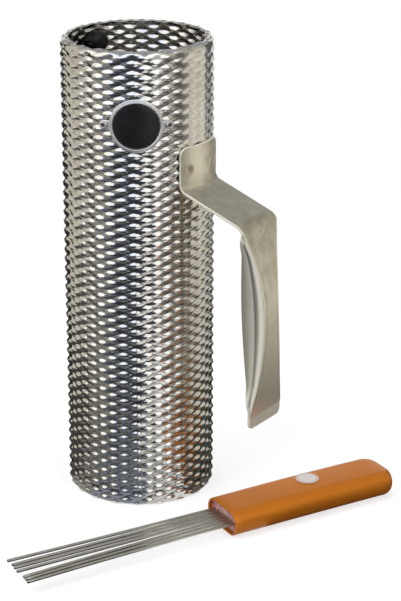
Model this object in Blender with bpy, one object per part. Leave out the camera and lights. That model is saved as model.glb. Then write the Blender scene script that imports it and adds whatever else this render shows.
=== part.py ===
"""A hand guira and its scraper, built as separate pieces. All sizes are in metres, +Z is up.

The barrel stands on its lower rim with the badge facing -Y. The handle sits round to the right of the
badge, and the scraper lies on the same surface in front of both.
"""

import math

import bmesh
import bpy
from mathutils import Matrix, Vector

# Clearance kept between pieces that touch on the real object.
GAP = 0.0003

# Barrel: an embossed sheet rolled into an open tube, with its upper edge curled in.
BARREL_HEIGHT = 0.355
VALLEY_RADIUS = 0.0552
BOSS_HEIGHT = 0.0019
SHEET_THICKNESS = 0.0006
BOSS_COLUMNS = 20
HALF_ROWS = 93
LIP_RADIUS = 0.0038
LIP_TURN = math.radians(120)
LIP_STEPS = 4

# Handle: one steel strip, welded to the barrel by its top flange.
HANDLE_ANGLE = math.radians(54.2)
STRIP_WIDTH = 0.044
STRIP_THICKNESS = 0.002
STRIP_COLUMNS = 24
FLANGE_DROP = 0.072
FLANGE_LENGTH = 0.0335
FLANGE_CORNER = 0.006
BEND_RADIUS = 0.0065
NECK_REACH = 0.0496
NECK_SLOPE = math.radians(19.5)
GRIP_LENGTH = 0.147
GRIP_LEAN = math.radians(2.8)
TAB_LENGTH = 0.009
TAB_WIDTH = 0.041
TAB_CORNER = 0.005

# Grip: the strip's web bows outwards and both its sides fold back towards the barrel, most at the peak.
GRIP_PEAK = 0.068
GRIP_ROWS = 16
WEB_HALF = 0.0071
WEB_BOW = 0.009
FOLD_RADIUS = 0.005
FOLD_LEAST_RADIUS = 0.0026
FOLD_WALL = 0.0123
FOLD_EASE = 1.25
# The share of the full press at which a side already stands square to the web.
FOLD_SQUARE_AT = 0.45

# Badge: a round curved plate with two ears, riveted to the front of the barrel.
BADGE_DROP = 0.053
BADGE_RING_RADIUS = 0.0182
BADGE_MARGIN = 0.0015
BADGE_THICKNESS = 0.001
BADGE_RING_WIDTH = 0.0013
BADGE_RING_HEIGHT = 0.0012
BADGE_FIELD_DEPTH = 0.0005
ENAMEL_THICKNESS = 0.0006
EAR_RADIUS = 0.0036
EAR_OVERHANG = 0.0040

# Blind rivets, hollow right through.
RIVET_RADIUS = 0.0016
RIVET_HEAD_RADIUS = 0.003
RIVET_HEAD_HEIGHT = 0.0011
RIVET_WALL = 0.0004
RIVET_TAIL_RADIUS = 0.0024
RIVET_TAIL_LENGTH = 0.003

# Black buffer on the inside of the wall, with its screw, washer and threaded insert.
BUFFER_ANGLE = math.radians(-141.5)
BUFFER_DROP = 0.0135
BUFFER_RADIUS = 0.0075
BUFFER_NOSE = 0.004
BUFFER_ROUND = 0.0045
INSERT_RADIUS = 0.0034
INSERT_LENGTH = 0.007
SCREW_RADIUS = 0.002
SCREW_HEAD_RADIUS = 0.0036
SCREW_HEAD_HEIGHT = 0.0024
SCREW_SHORT = 0.0015
WASHER_RADIUS = 0.005
WASHER_THICKNESS = 0.001

# Scraper: an oblong grip with a socket, a resin plug and a row of wires. It lies in front of the barrel.
SCRAPER_PLACE = Vector((0.062, -0.0947, 0.0))
SCRAPER_TURN = math.radians(29.1)
GRIP_WIDTH = 0.0423
GRIP_DEPTH = 0.0197
GRIP_SWELL = 0.0008
SCRAPER_LENGTH = 0.146
END_ROUND = 0.011
SOCKET_WALL = 0.0017
SOCKET_DEPTH = 0.042
RESIN_RECESS = 0.0035
TINE_COUNT = 7
TINE_PITCH = 0.0046
TINE_RADIUS = 0.0012
TINE_REACH = 0.168
TINE_COVER = 0.008
# How far each wire's tip has been bent sideways and up, from the barrel side to the front.
TINE_SPLAY = (0.0030, -0.0004, 0.0004, 0.0005, -0.0060, -0.0048, -0.0034)
TINE_LIFT = (0.0, 0.0006, 0.0, -0.0006, 0.0004, 0.0002, -0.0004)
LABEL_RADIUS = 0.009
LABEL_THICKNESS = 0.0003
LABEL_ALONG = 0.0785
LABEL_ASIDE = 0.0045

# Sizes that follow from the ones above.
CREST_RADIUS = VALLEY_RADIUS + BOSS_HEIGHT
BORE_RADIUS = VALLEY_RADIUS - SHEET_THICKNESS
LIP_CENTRE_RADIUS = VALLEY_RADIUS + BOSS_HEIGHT / 2 - LIP_RADIUS
EMBOSSED_HEIGHT = BARREL_HEIGHT - LIP_RADIUS
SEAT_RADIUS = CREST_RADIUS + GAP
FLANGE_RADIUS = SEAT_RADIUS + STRIP_THICKNESS / 2
FLANGE_TOP = BARREL_HEIGHT - FLANGE_DROP
BADGE_HEIGHT = BARREL_HEIGHT - BADGE_DROP
BADGE_RADIUS = BADGE_RING_RADIUS + BADGE_MARGIN
RIVET_SPREAD = BADGE_RADIUS + EAR_OVERHANG
RIVET_BORE_RADIUS = RIVET_RADIUS - RIVET_WALL
BUFFER_HEIGHT = BARREL_HEIGHT - BUFFER_DROP
BUFFER_LENGTH = INSERT_LENGTH + BUFFER_NOSE
SCREW_REACH = INSERT_LENGTH - SCREW_SHORT
TINE_END = SOCKET_DEPTH - TINE_COVER


def clear_scene():
    """Remove whatever the file opened with."""
    for item in list(bpy.data.objects):
        bpy.data.objects.remove(item)


def make_material(name, colour, roughness, metallic):
    """Return a Principled material."""
    material = bpy.data.materials.new(name)
    material.use_nodes = True
    shader = material.node_tree.nodes["Principled BSDF"]
    shader.inputs["Base Color"].default_value = (*colour, 1.0)
    shader.inputs["Roughness"].default_value = roughness
    shader.inputs["Metallic"].default_value = metallic
    return material


def add_empty(name, parent, matrix):
    """Add a frame for pieces to sit in."""
    empty = bpy.data.objects.new(name, None)
    bpy.context.collection.objects.link(empty)
    empty.parent = parent
    empty.matrix_local = matrix
    return empty


def add_mesh(name, bm, parent, material=None, matrix=None, sharp=math.radians(35)):
    """Turn a bmesh into a named object under its parent."""
    bmesh.ops.recalc_face_normals(bm, faces=bm.faces)
    mesh = bpy.data.meshes.new(name)
    bm.to_mesh(mesh)
    bm.free()
    mesh.shade_smooth()
    mesh.set_sharp_from_angle(angle=sharp)
    if material:
        mesh.materials.append(material)
    thing = bpy.data.objects.new(name, mesh)
    bpy.context.collection.objects.link(thing)
    thing.parent = parent
    if matrix:
        thing.matrix_local = matrix
    return thing


def cut(target, cutter):
    """Take the cutter's shape out of the target and keep the cutter as a hidden guide."""
    cutter.hide_render = True
    cutter.display_type = "WIRE"
    boolean = target.modifiers.new(cutter.name, "BOOLEAN")
    boolean.operation = "DIFFERENCE"
    boolean.object = cutter


def skin(bm, loops, close_ends):
    """Join loops of points into a surface, with a flat face at each end if asked."""
    rings = [[bm.verts.new(point) for point in loop] for loop in loops]
    for lower, upper in zip(rings, rings[1:]):
        for index, corner in enumerate(lower):
            after = (index + 1) % len(lower)
            bm.faces.new((corner, lower[after], upper[after], upper[index]))
    if close_ends:
        bm.faces.new(reversed(rings[0]))
        bm.faces.new(rings[-1])
    return rings


def lathe(profile, segments, ring=False):
    """Turn a profile of (radius, height) points about Z. A ring profile joins its last point to its first."""
    bm = bmesh.new()
    points = [bm.verts.new((radius, 0.0, height)) for radius, height in profile]
    edges = [bm.edges.new(pair) for pair in zip(points, points[1:])]
    if ring:
        edges.append(bm.edges.new((points[-1], points[0])))
    bmesh.ops.spin(bm, geom=points + edges, cent=(0, 0, 0), axis=(0, 0, 1), angle=math.tau,
                   steps=segments, use_merge=False)
    bmesh.ops.remove_doubles(bm, verts=bm.verts, dist=1e-6)
    return bm


def radial_frame(angle, radius, height):
    """Return a frame on the barrel whose Z points straight out from the axis."""
    turn = Matrix.Rotation(angle, 4, "Z")
    tip = Matrix.Rotation(math.pi / 2, 4, "X")
    return turn @ Matrix.Translation((0.0, -radius, height)) @ tip


def barrel_hole(name, radius, angle, height, parent):
    """Return a cutter that drills the barrel wall along a radius."""
    reach = BOSS_HEIGHT + SHEET_THICKNESS + 4 * radius
    bm = bmesh.new()
    bmesh.ops.create_cone(bm, cap_ends=True, segments=12, radius1=radius, radius2=radius, depth=2 * reach)
    return add_mesh(name, bm, parent, matrix=radial_frame(angle, VALLEY_RADIUS, height))


def build_barrel(parent, material):
    """Build the tube: bosses and valleys alternate round and up the outside, below the curled lip."""
    columns = 2 * BOSS_COLUMNS
    bm = bmesh.new()

    def place(column, radius, height):
        angle = math.tau * column / columns
        return bm.verts.new((radius * math.cos(angle), radius * math.sin(angle), height))

    def ring(radius, height):
        return [place(column, radius, height) for column in range(columns)]

    def lip_ring(step, radius):
        turn = LIP_TURN * step / LIP_STEPS
        return ring(LIP_CENTRE_RADIUS + radius * math.cos(turn), EMBOSSED_HEIGHT + radius * math.sin(turn))

    def band(lower, upper):
        for column in range(columns):
            after = (column + 1) % columns
            bm.faces.new((lower[column], lower[after], upper[after], upper[column]))

    grid = []
    for row in range(HALF_ROWS + 1):
        height = EMBOSSED_HEIGHT * row / HALF_ROWS
        radii = [CREST_RADIUS if (row + column) % 2 == 0 else VALLEY_RADIUS for column in range(columns)]
        grid.append([place(column, radii[column], height) for column in range(columns)])
    for row in range(HALF_ROWS):
        for column in range(columns):
            after = (column + 1) % columns
            near, right = grid[row][column], grid[row][after]
            above, far = grid[row + 1][column], grid[row + 1][after]
            # Each quad folds along the valley between two bosses.
            if (row + column) % 2 == 0:
                bm.faces.new((near, right, above))
                bm.faces.new((far, above, right))
            else:
                bm.faces.new((near, right, far))
                bm.faces.new((near, far, above))

    # The lip's outer skin, then its inner skin and the bore, back down to the foot.
    skin = [grid[-1]]
    skin += [lip_ring(step, LIP_RADIUS) for step in range(1, LIP_STEPS + 1)]
    skin += [lip_ring(step, LIP_RADIUS - SHEET_THICKNESS) for step in range(LIP_STEPS, 0, -1)]
    skin += [ring(BORE_RADIUS, EMBOSSED_HEIGHT), ring(BORE_RADIUS, 0.0), grid[0]]
    for lower, upper in zip(skin, skin[1:]):
        band(lower, upper)

    barrel = add_mesh("barrel", bm, parent, material, sharp=math.radians(12))
    hole = RIVET_RADIUS + GAP
    spread = RIVET_SPREAD / SEAT_RADIUS
    cut(barrel, barrel_hole("cut_rivet_left", hole, -spread, BADGE_HEIGHT, parent))
    cut(barrel, barrel_hole("cut_rivet_right", hole, spread, BADGE_HEIGHT, parent))
    cut(barrel, barrel_hole("cut_buffer", SCREW_RADIUS + GAP, BUFFER_ANGLE, BUFFER_HEIGHT, parent))
    return barrel


def rounded_path(points, radius, steps):
    """Return a path through the points with each inner corner rounded to the radius."""
    path = [points[0]]
    for before, corner, after in zip(points, points[1:], points[2:]):
        arrive = (corner - before).normalized()
        leave = (after - corner).normalized()
        turn = arrive.angle(leave)
        reach = radius * math.tan(turn / 2)
        start, end = corner - arrive * reach, corner + leave * reach
        centre = start + (leave - arrive * arrive.dot(leave)).normalized() * radius
        for step in range(steps + 1):
            share = step / steps
            swing = (start - centre).lerp(end - centre, share).normalized() * radius
            path.append(centre + swing)
    path.append(points[-1])
    return path


def corner_drop(aside, half_width, radius):
    """Return how far a rounded corner cuts the strip's end back at a distance from its middle."""
    inside = max(0.0, abs(aside) - (half_width - radius))
    return radius - math.sqrt(radius ** 2 - min(inside, radius) ** 2)


def grip_press(along):
    """Return how far the grip is formed at a distance from its top corner, from 0 (flat) to 1."""
    reach = GRIP_PEAK if along < GRIP_PEAK else GRIP_LENGTH - GRIP_PEAK
    return max(0.0, 1 - ((along - GRIP_PEAK) / reach) ** 2)


def channel_point(share, press, flat_half):
    """Return (aside, out) of a point on the grip's cross-section.

    share runs from -1 to 1 across the strip, press from 0 (flat) to 1 (fully formed), and flat_half is
    half the strip's width there before it is pressed.
    """
    web = flat_half + (WEB_HALF - flat_half) * press
    wall = FOLD_WALL * press ** FOLD_EASE
    radius = max(FOLD_RADIUS * press, FOLD_LEAST_RADIUS)
    square = math.pi / 2 * math.sin(math.pi / 2 * min(1.0, press / FOLD_SQUARE_AT))
    left = abs(share) * (web + radius * square + wall)

    aside = min(left, web)
    left -= aside
    turn = min(left / radius, square)
    left -= turn * radius
    aside += radius * math.sin(turn) + left * math.cos(turn)
    back = radius * (1 - math.cos(turn)) + left * math.sin(turn)
    return math.copysign(aside, share), WEB_BOW * press - back


def build_handle(parent, material):
    """Build the handle from columns of points that run down the strip, then thicken it."""
    bend_height = FLANGE_TOP - FLANGE_LENGTH
    grip_top = bend_height - NECK_REACH * math.tan(NECK_SLOPE)
    down = Vector((math.sin(GRIP_LEAN), -math.cos(GRIP_LEAN)))
    outward = Vector((math.cos(GRIP_LEAN), math.sin(GRIP_LEAN)))
    top_of_grip = Vector((FLANGE_RADIUS + NECK_REACH, grip_top))
    lead = BEND_RADIUS
    half = STRIP_WIDTH / 2
    tab_half = TAB_WIDTH / 2

    def formed(share, point):
        """Move a point of the flat grip to its place on the pressed one."""
        along = (point - top_of_grip).dot(down)
        flat_half = half + (tab_half - half) * max(0.0, along) / GRIP_LENGTH
        across, out = channel_point(share, grip_press(along), flat_half)
        return across, point + outward * out

    bm = bmesh.new()
    columns = []
    for column in range(STRIP_COLUMNS + 1):
        share = 2 * column / STRIP_COLUMNS - 1
        aside = share * half
        # The flange follows the barrel, and the flat neck meets it along a curve.
        seat = math.sqrt(FLANGE_RADIUS ** 2 - aside ** 2)
        meet = bend_height + (FLANGE_RADIUS - seat) * math.tan(NECK_SLOPE)
        crest = FLANGE_TOP - corner_drop(aside, half, FLANGE_CORNER)
        spine = [Vector((seat, crest)), Vector((seat, meet)), top_of_grip, top_of_grip + down * lead]
        line = [formed(share, point) for point in rounded_path(spine, BEND_RADIUS, 4)]
        for row in range(1, GRIP_ROWS):
            # Rows crowd towards both ends, where the sides start and stop.
            along = (1 - math.cos(math.pi * row / GRIP_ROWS)) / 2
            line.append(formed(share, top_of_grip + down * (lead + along * (GRIP_LENGTH - lead))))
        crease = top_of_grip + down * GRIP_LENGTH
        tab = TAB_LENGTH - corner_drop(share * tab_half, tab_half, TAB_CORNER)
        line.append((share * tab_half, crease))
        line.append((share * tab_half, crease + Vector((0.0, -tab))))
        columns.append([bm.verts.new((across, -point.x, point.y)) for across, point in line])
    for left, right in zip(columns, columns[1:]):
        for row in range(len(left) - 1):
            bm.faces.new((left[row + 1], right[row + 1], right[row], left[row]))

    turned = Matrix.Rotation(HANDLE_ANGLE, 4, "Z")
    handle = add_mesh("handle_bracket", bm, parent, material, turned)
    solidify = handle.modifiers.new("sheet", "SOLIDIFY")
    solidify.thickness = STRIP_THICKNESS
    solidify.offset = 0.0
    solidify.use_even_offset = True
    return handle


def plate_edge(turn, radius):
    """Return the badge outline's distance from its centre, a circle with an ear at each side."""
    reach = EAR_RADIUS ** 2 - (RIVET_SPREAD * math.sin(turn)) ** 2
    if reach < 0:
        return radius
    return max(radius, RIVET_SPREAD * abs(math.cos(turn)) + math.sqrt(reach))


def wrapped_disc(rings, turns):
    """Build a closed disc from rings of (outline, height) and bend it round the barrel.

    An outline is a function of the angle about the disc's own centre. The first and last rings close
    the disc's front and back.
    """
    bm = bmesh.new()

    def place(flat_x, flat_y, height):
        angle = flat_x / SEAT_RADIUS
        radius = SEAT_RADIUS + height
        return Vector((radius * math.sin(angle), -radius * math.cos(angle), BADGE_HEIGHT + flat_y))

    loops = []
    for outline, height in rings:
        reach = [(outline(turn), turn) for turn in turns]
        loops.append([place(far * math.cos(turn), far * math.sin(turn), height) for far, turn in reach])
    front, back = skin(bm, loops, close_ends=False)[::len(loops) - 1]
    for loop, height in ((front, rings[0][1]), (back, rings[-1][1])):
        middle = bm.verts.new(place(0.0, 0.0, height))
        for index, corner in enumerate(loop):
            bm.faces.new((corner, loop[(index + 1) % len(loop)], middle))
    return bm


def badge_turns():
    """Return the angles round the badge, closer together at the ears."""
    quarter = [0.0, 3.5, 7, 10.5, 20, 34, 48, 62, 76]
    half = quarter + [90.0] + [180 - degrees for degrees in reversed(quarter[1:])]
    full = half + [180 + degrees for degrees in half]
    return [math.radians(degrees) for degrees in full]


def circle(radius):
    """Return a plain round outline."""
    return lambda turn: radius


def build_badge(parent, plate_material, enamel_material):
    """Build the badge plate and the enamel field that sits inside its ring."""
    field = BADGE_RING_RADIUS - BADGE_RING_WIDTH
    floor = BADGE_THICKNESS - BADGE_FIELD_DEPTH
    ring_top = BADGE_THICKNESS + BADGE_RING_HEIGHT
    bevel = BADGE_RING_WIDTH / 4
    outer = BADGE_RADIUS
    rings = [
        (circle(field / 2), floor),
        (circle(field), floor),
        (circle(field + bevel), ring_top),
        (circle(BADGE_RING_RADIUS - bevel), ring_top),
        (circle(BADGE_RING_RADIUS), BADGE_THICKNESS),
        (lambda turn: plate_edge(turn, outer), BADGE_THICKNESS),
        (lambda turn: plate_edge(turn, outer), 0.0),
        (circle(field), 0.0),
        (circle(field / 2), 0.0),
    ]
    plate = add_mesh("badge_plate", wrapped_disc(rings, badge_turns()), parent, plate_material)
    spread = RIVET_SPREAD / SEAT_RADIUS
    cut(plate, barrel_hole("cut_ear_left", RIVET_RADIUS + GAP, -spread, BADGE_HEIGHT, parent))
    cut(plate, barrel_hole("cut_ear_right", RIVET_RADIUS + GAP, spread, BADGE_HEIGHT, parent))

    edge = field - GAP
    back = floor + GAP
    face = back + ENAMEL_THICKNESS
    rings = [(circle(edge / 2), face), (circle(edge), face), (circle(edge), back), (circle(edge / 2), back)]
    turns = [math.tau * step / 36 for step in range(36)]
    add_mesh("badge_enamel", wrapped_disc(rings, turns), parent, enamel_material)


def build_rivets(parent, material):
    """Build the two hollow rivets that hold the badge's ears to the barrel."""
    # Heights run along the rivet from the plane of the barrel's valleys.
    head = SEAT_RADIUS + BADGE_THICKNESS + GAP - VALLEY_RADIUS
    tail = -SHEET_THICKNESS - GAP - RIVET_TAIL_RADIUS ** 2 / VALLEY_RADIUS
    profile = [
        (RIVET_BORE_RADIUS, head + RIVET_HEAD_HEIGHT),
        (RIVET_BORE_RADIUS, tail - RIVET_TAIL_LENGTH),
        (RIVET_RADIUS, tail - RIVET_TAIL_LENGTH),
        (RIVET_TAIL_RADIUS, tail - RIVET_TAIL_LENGTH / 2),
        (RIVET_RADIUS, tail),
        (RIVET_RADIUS, head),
        (RIVET_HEAD_RADIUS, head),
        (RIVET_HEAD_RADIUS * 0.9, head + RIVET_HEAD_HEIGHT * 0.6),
        (RIVET_HEAD_RADIUS * 0.62, head + RIVET_HEAD_HEIGHT),
    ]
    for name, side in (("badge_rivet_left", -1), ("badge_rivet_right", 1)):
        place = radial_frame(side * RIVET_SPREAD / SEAT_RADIUS, VALLEY_RADIUS, BADGE_HEIGHT)
        add_mesh(name, lathe(profile, 12, ring=True), parent, material, place)


def build_buffer(parent, rubber, steel, brass):
    """Build the black buffer inside the wall and the pieces that hold it there."""
    place = radial_frame(BUFFER_ANGLE, 0.0, BUFFER_HEIGHT)
    base = math.sqrt(BORE_RADIUS ** 2 - BUFFER_RADIUS ** 2) * math.cos(math.pi / (2 * BOSS_COLUMNS)) - GAP
    nose = base - BUFFER_LENGTH
    pocket = INSERT_RADIUS + GAP
    pocket_end = base - INSERT_LENGTH - 2 * GAP
    profile = [
        (0.0, pocket_end),
        (pocket, pocket_end),
        (pocket, base),
        (BUFFER_RADIUS, base),
        (BUFFER_RADIUS, nose + BUFFER_ROUND),
    ]
    for step in range(1, 5):
        turn = step * math.pi / 8
        rim = BUFFER_RADIUS - BUFFER_ROUND * (1 - math.cos(turn))
        profile.append((rim, nose + BUFFER_ROUND * (1 - math.sin(turn))))
    profile.append((0.0, nose))
    add_mesh("rim_buffer", lathe(profile, 24), parent, rubber, place)

    bore = SCREW_RADIUS + GAP
    insert = [
        (bore, base - GAP),
        (bore, base - GAP - INSERT_LENGTH),
        (INSERT_RADIUS, base - GAP - INSERT_LENGTH),
        (INSERT_RADIUS, base - GAP),
    ]
    add_mesh("buffer_insert", lathe(insert, 16, ring=True), parent, brass, place)

    washer_back = SEAT_RADIUS
    washer_face = washer_back + WASHER_THICKNESS
    washer = [
        (bore, washer_face),
        (bore, washer_back),
        (WASHER_RADIUS, washer_back),
        (WASHER_RADIUS, washer_face),
    ]
    add_mesh("buffer_washer", lathe(washer, 20, ring=True), parent, steel, place)

    under_head = washer_face + GAP
    screw = [
        (0.0, base - SCREW_REACH),
        (SCREW_RADIUS, base - SCREW_REACH),
        (SCREW_RADIUS, under_head),
        (SCREW_HEAD_RADIUS, under_head),
        (SCREW_HEAD_RADIUS, under_head + SCREW_HEAD_HEIGHT * 0.55),
        (SCREW_HEAD_RADIUS * 0.7, under_head + SCREW_HEAD_HEIGHT),
        (0.0, under_head + SCREW_HEAD_HEIGHT),
    ]
    add_mesh("buffer_screw", lathe(screw, 16), parent, steel, place)


def oblong(along, width, depth, middle, arc_steps=8):
    """Return a loop of points with straight top and bottom and half-round sides, square to X."""
    radius = depth / 2
    points = []
    for side, start in ((1, -math.pi / 2), (-1, math.pi / 2)):
        for step in range(arc_steps + 1):
            turn = start + math.pi * step / arc_steps
            across = side * (width / 2 - radius) + radius * math.cos(turn)
            points.append((along, across, middle + radius * math.sin(turn)))
    return points


def grip_depth(along):
    """Return the scraper grip's depth, which swells a little towards its middle."""
    return GRIP_DEPTH + GRIP_SWELL * math.sin(math.pi * along / SCRAPER_LENGTH)


def build_scraper_handle(frame, material):
    """Build the oblong grip: socket floor, socket mouth, outside and rounded rear end in one skin."""
    middle = GRIP_DEPTH / 2
    inside_width = GRIP_WIDTH - 2 * SOCKET_WALL
    inside_depth = GRIP_DEPTH - 2 * SOCKET_WALL
    loops = [
        oblong(SOCKET_DEPTH, inside_width, inside_depth, middle),
        oblong(0.0, inside_width, inside_depth, middle),
        oblong(0.0, GRIP_WIDTH, GRIP_DEPTH, middle),
    ]
    straight = SCRAPER_LENGTH - END_ROUND
    for step in range(1, 6):
        along = straight * step / 5
        depth = grip_depth(along)
        loops.append(oblong(along, GRIP_WIDTH, depth, depth / 2))
    for step in range(1, 6):
        turn = step * math.pi / 10
        along = straight + END_ROUND * math.sin(turn)
        trim = END_ROUND * (1 - math.cos(turn))
        depth = grip_depth(along) - trim * 0.7
        loops.append(oblong(along, GRIP_WIDTH - 2 * trim, depth, middle))
    bm = bmesh.new()
    skin(bm, loops, close_ends=True)
    return add_mesh("scraper_handle", bm, frame, material)


def tine_row():
    """Yield each wire's number and its distance from the middle of the row."""
    for index in range(TINE_COUNT):
        yield index, ((TINE_COUNT - 1) / 2 - index) * TINE_PITCH


def build_resin(frame, material):
    """Build the resin plug in the socket, with a blind hole for each wire."""
    middle = GRIP_DEPTH / 2
    width = GRIP_WIDTH - 2 * (SOCKET_WALL + GAP)
    depth = GRIP_DEPTH - 2 * (SOCKET_WALL + GAP)
    bm = bmesh.new()
    back = SOCKET_DEPTH - GAP
    loops = [oblong(along, width, depth, middle) for along in (RESIN_RECESS, back)]
    skin(bm, loops, close_ends=True)
    plug = add_mesh("resin_plug", bm, frame, material)

    holes = bmesh.new()
    deep = TINE_END + GAP - RESIN_RECESS
    for _, across in tine_row():
        spot = Matrix.Translation((RESIN_RECESS, across, middle)) @ Matrix.Rotation(math.pi / 2, 4, "Y")
        bmesh.ops.create_cone(holes, cap_ends=True, segments=12, radius1=TINE_RADIUS + GAP,
                              radius2=TINE_RADIUS + GAP, depth=2 * deep, matrix=spot)
    cut(plug, add_mesh("cut_tines", holes, frame))


def build_tine(frame, material, index, across):
    """Build one wire as a bevelled curve, straight in the resin and gently splayed outside it."""
    middle = GRIP_DEPTH / 2
    steps = 6
    points = [(TINE_END, across, middle)]
    for step in range(steps + 1):
        share = step / steps
        bend = share ** 1.6
        aside = across + TINE_SPLAY[index] * bend
        points.append((-TINE_REACH * share, aside, middle + TINE_LIFT[index] * bend))
    name = f"tine_{index + 1}"
    curve = bpy.data.curves.new(name, "CURVE")
    curve.dimensions = "3D"
    curve.bevel_depth = TINE_RADIUS
    curve.bevel_resolution = 2
    curve.use_fill_caps = True
    spline = curve.splines.new("POLY")
    spline.points.add(len(points) - 1)
    for point, place in zip(spline.points, points):
        point.co = (*place, 1.0)
    spline.use_smooth = True
    curve.materials.append(material)
    wire = bpy.data.objects.new(name, curve)
    bpy.context.collection.objects.link(wire)
    wire.parent = frame


def build_label(frame, material):
    """Build the round blank sticker on top of the grip."""
    bm = bmesh.new()
    height = grip_depth(LABEL_ALONG) + GAP + LABEL_THICKNESS / 2
    spot = Matrix.Translation((LABEL_ALONG, LABEL_ASIDE, height))
    bmesh.ops.create_cone(bm, cap_ends=True, segments=32, radius1=LABEL_RADIUS, radius2=LABEL_RADIUS,
                          depth=LABEL_THICKNESS, matrix=spot)
    add_mesh("scraper_label", bm, frame, material)


def centre_on_floor(root):
    """Move the whole object so that its outer box stands on the origin by the middle of its underside."""
    bpy.context.view_layer.update()
    graph = bpy.context.evaluated_depsgraph_get()
    points = []
    for item in bpy.data.objects:
        if item.type in {"MESH", "CURVE"} and not item.hide_render:
            solid = item.evaluated_get(graph)
            mesh = solid.to_mesh()
            points.extend(solid.matrix_world @ vertex.co for vertex in mesh.vertices)
            solid.to_mesh_clear()
    low = [min(point[axis] for point in points) for axis in range(3)]
    high = [max(point[axis] for point in points) for axis in range(3)]
    root.location = (-(low[0] + high[0]) / 2, -(low[1] + high[1]) / 2, -low[2])


def main():
    """Build every piece."""
    clear_scene()
    bright = make_material("bright_steel", (0.70, 0.70, 0.68), 0.16, 1.0)
    satin = make_material("satin_steel", (0.58, 0.55, 0.48), 0.34, 1.0)
    plated = make_material("plated_zinc", (0.72, 0.72, 0.74), 0.2, 1.0)
    black = make_material("black_enamel", (0.012, 0.012, 0.014), 0.3, 0.0)
    rivet = make_material("rivet_aluminium", (0.75, 0.75, 0.74), 0.3, 1.0)
    rubber = make_material("black_rubber", (0.01, 0.01, 0.011), 0.25, 0.0)
    brass = make_material("brass", (0.66, 0.47, 0.2), 0.35, 1.0)
    orange = make_material("orange_lacquer", (0.66, 0.27, 0.05), 0.38, 0.0)
    resin = make_material("casting_resin", (0.34, 0.13, 0.16), 0.3, 0.0)
    wire = make_material("wire_steel", (0.40, 0.39, 0.35), 0.36, 1.0)
    paper = make_material("white_paper", (0.8, 0.79, 0.77), 0.5, 0.0)

    root = add_empty("guira", None, Matrix.Identity(4))
    build_barrel(root, bright)
    build_handle(root, satin)
    build_badge(root, plated, black)
    build_rivets(root, rivet)
    build_buffer(root, rubber, plated, brass)

    lie = Matrix.Translation(SCRAPER_PLACE) @ Matrix.Rotation(SCRAPER_TURN, 4, "Z")
    frame = add_empty("scraper", root, lie)
    build_scraper_handle(frame, orange)
    build_resin(frame, resin)
    for index, across in tine_row():
        build_tine(frame, wire, index, across)
    build_label(frame, paper)
    centre_on_floor(root)


main()
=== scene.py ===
"""A hand guira and its wire scraper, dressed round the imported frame.

All sizes are in metres and +Z is up. The tube stands on its lower rim with the badge facing -Y, and the
scraper lies on the same table in front of it.
"""

from __future__ import annotations

import functools
import logging
import math
from collections.abc import Callable, Iterable, Mapping, Sequence
from dataclasses import dataclass, field
from enum import Enum
from typing import Any

import bmesh
import bpy
import numpy as np
from mathutils import Matrix, Vector

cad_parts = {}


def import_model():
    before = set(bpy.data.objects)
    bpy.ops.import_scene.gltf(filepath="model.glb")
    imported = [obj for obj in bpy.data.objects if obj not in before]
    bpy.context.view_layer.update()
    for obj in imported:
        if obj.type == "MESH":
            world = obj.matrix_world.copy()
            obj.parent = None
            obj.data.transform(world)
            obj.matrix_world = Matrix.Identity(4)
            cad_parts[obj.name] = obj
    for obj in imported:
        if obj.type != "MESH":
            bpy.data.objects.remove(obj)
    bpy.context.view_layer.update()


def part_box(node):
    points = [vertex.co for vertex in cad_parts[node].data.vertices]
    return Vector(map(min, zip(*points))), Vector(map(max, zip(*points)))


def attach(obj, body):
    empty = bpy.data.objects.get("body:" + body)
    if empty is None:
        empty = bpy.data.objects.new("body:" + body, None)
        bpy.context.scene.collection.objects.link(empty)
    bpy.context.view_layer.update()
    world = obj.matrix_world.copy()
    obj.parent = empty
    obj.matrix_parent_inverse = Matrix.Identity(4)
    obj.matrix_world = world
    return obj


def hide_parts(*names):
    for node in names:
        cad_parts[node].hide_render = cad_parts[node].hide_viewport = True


LOG = logging.getLogger("guira")

# Clearance that the solids keep between pieces that touch.
GAP = 0.0003

# Slack for telling whether two lengths are the same.
TOUCH = 0.00001

# A length too small to tell from nothing. Points that are closer than this become one.
TINY = 1e-6

# How deep a full bump reaches, where a finish has no depth of its own.
BUMP_DEPTH = 0.0001

# Painted shade for the inside of bores.
BORE_SHADE = (0.02, 0.02, 0.02)

Colour = tuple[float, float, float]
Triple = tuple[float, float, float]
Pair = tuple[float, float]
Faces = list[Sequence[int]]
Loops = Sequence[Sequence[Sequence[float]]]
Node = bpy.types.Node
Socket = bpy.types.NodeSocket
Sockets = bpy.types.bpy_prop_collection
Tree = bpy.types.NodeTree
Piece = bpy.types.Object

# The socket that takes each kind of value. None stands for the mesh that comes in or goes out.
SOCKETS: dict[type, str] = {
    int: "NodeSocketInt",
    float: "NodeSocketFloat",
    tuple: "NodeSocketVector",
    bpy.types.Material: "NodeSocketMaterial",
    type(None): "NodeSocketGeometry",
}


class Body(str, Enum):
    """The two bodies that pieces ride on."""

    GUIRA = "guira"
    SCRAPER = "scraper"


class Slot(str, Enum):
    """The record's material slots for the pieces made here."""

    BRIGHT_STEEL = "bright_steel"
    SATIN_STEEL = "satin_steel"
    PLATED = "plated_metal"
    ENAMEL = "black_enamel"
    ALUMINIUM = "rivet_aluminium"
    RUBBER = "black_rubber"
    ORANGE = "orange_lacquer"
    RESIN = "casting_resin"
    WIRE = "wire_steel"
    PAPER = "white_paper"


class Effect(str, Enum):
    """The surface effects that several finishes share."""

    GRAIN = "grain"
    BLOTCHES = "blotches"
    SCRATCHES = "scratches"
    PITS = "pits"


# Node trees


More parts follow.
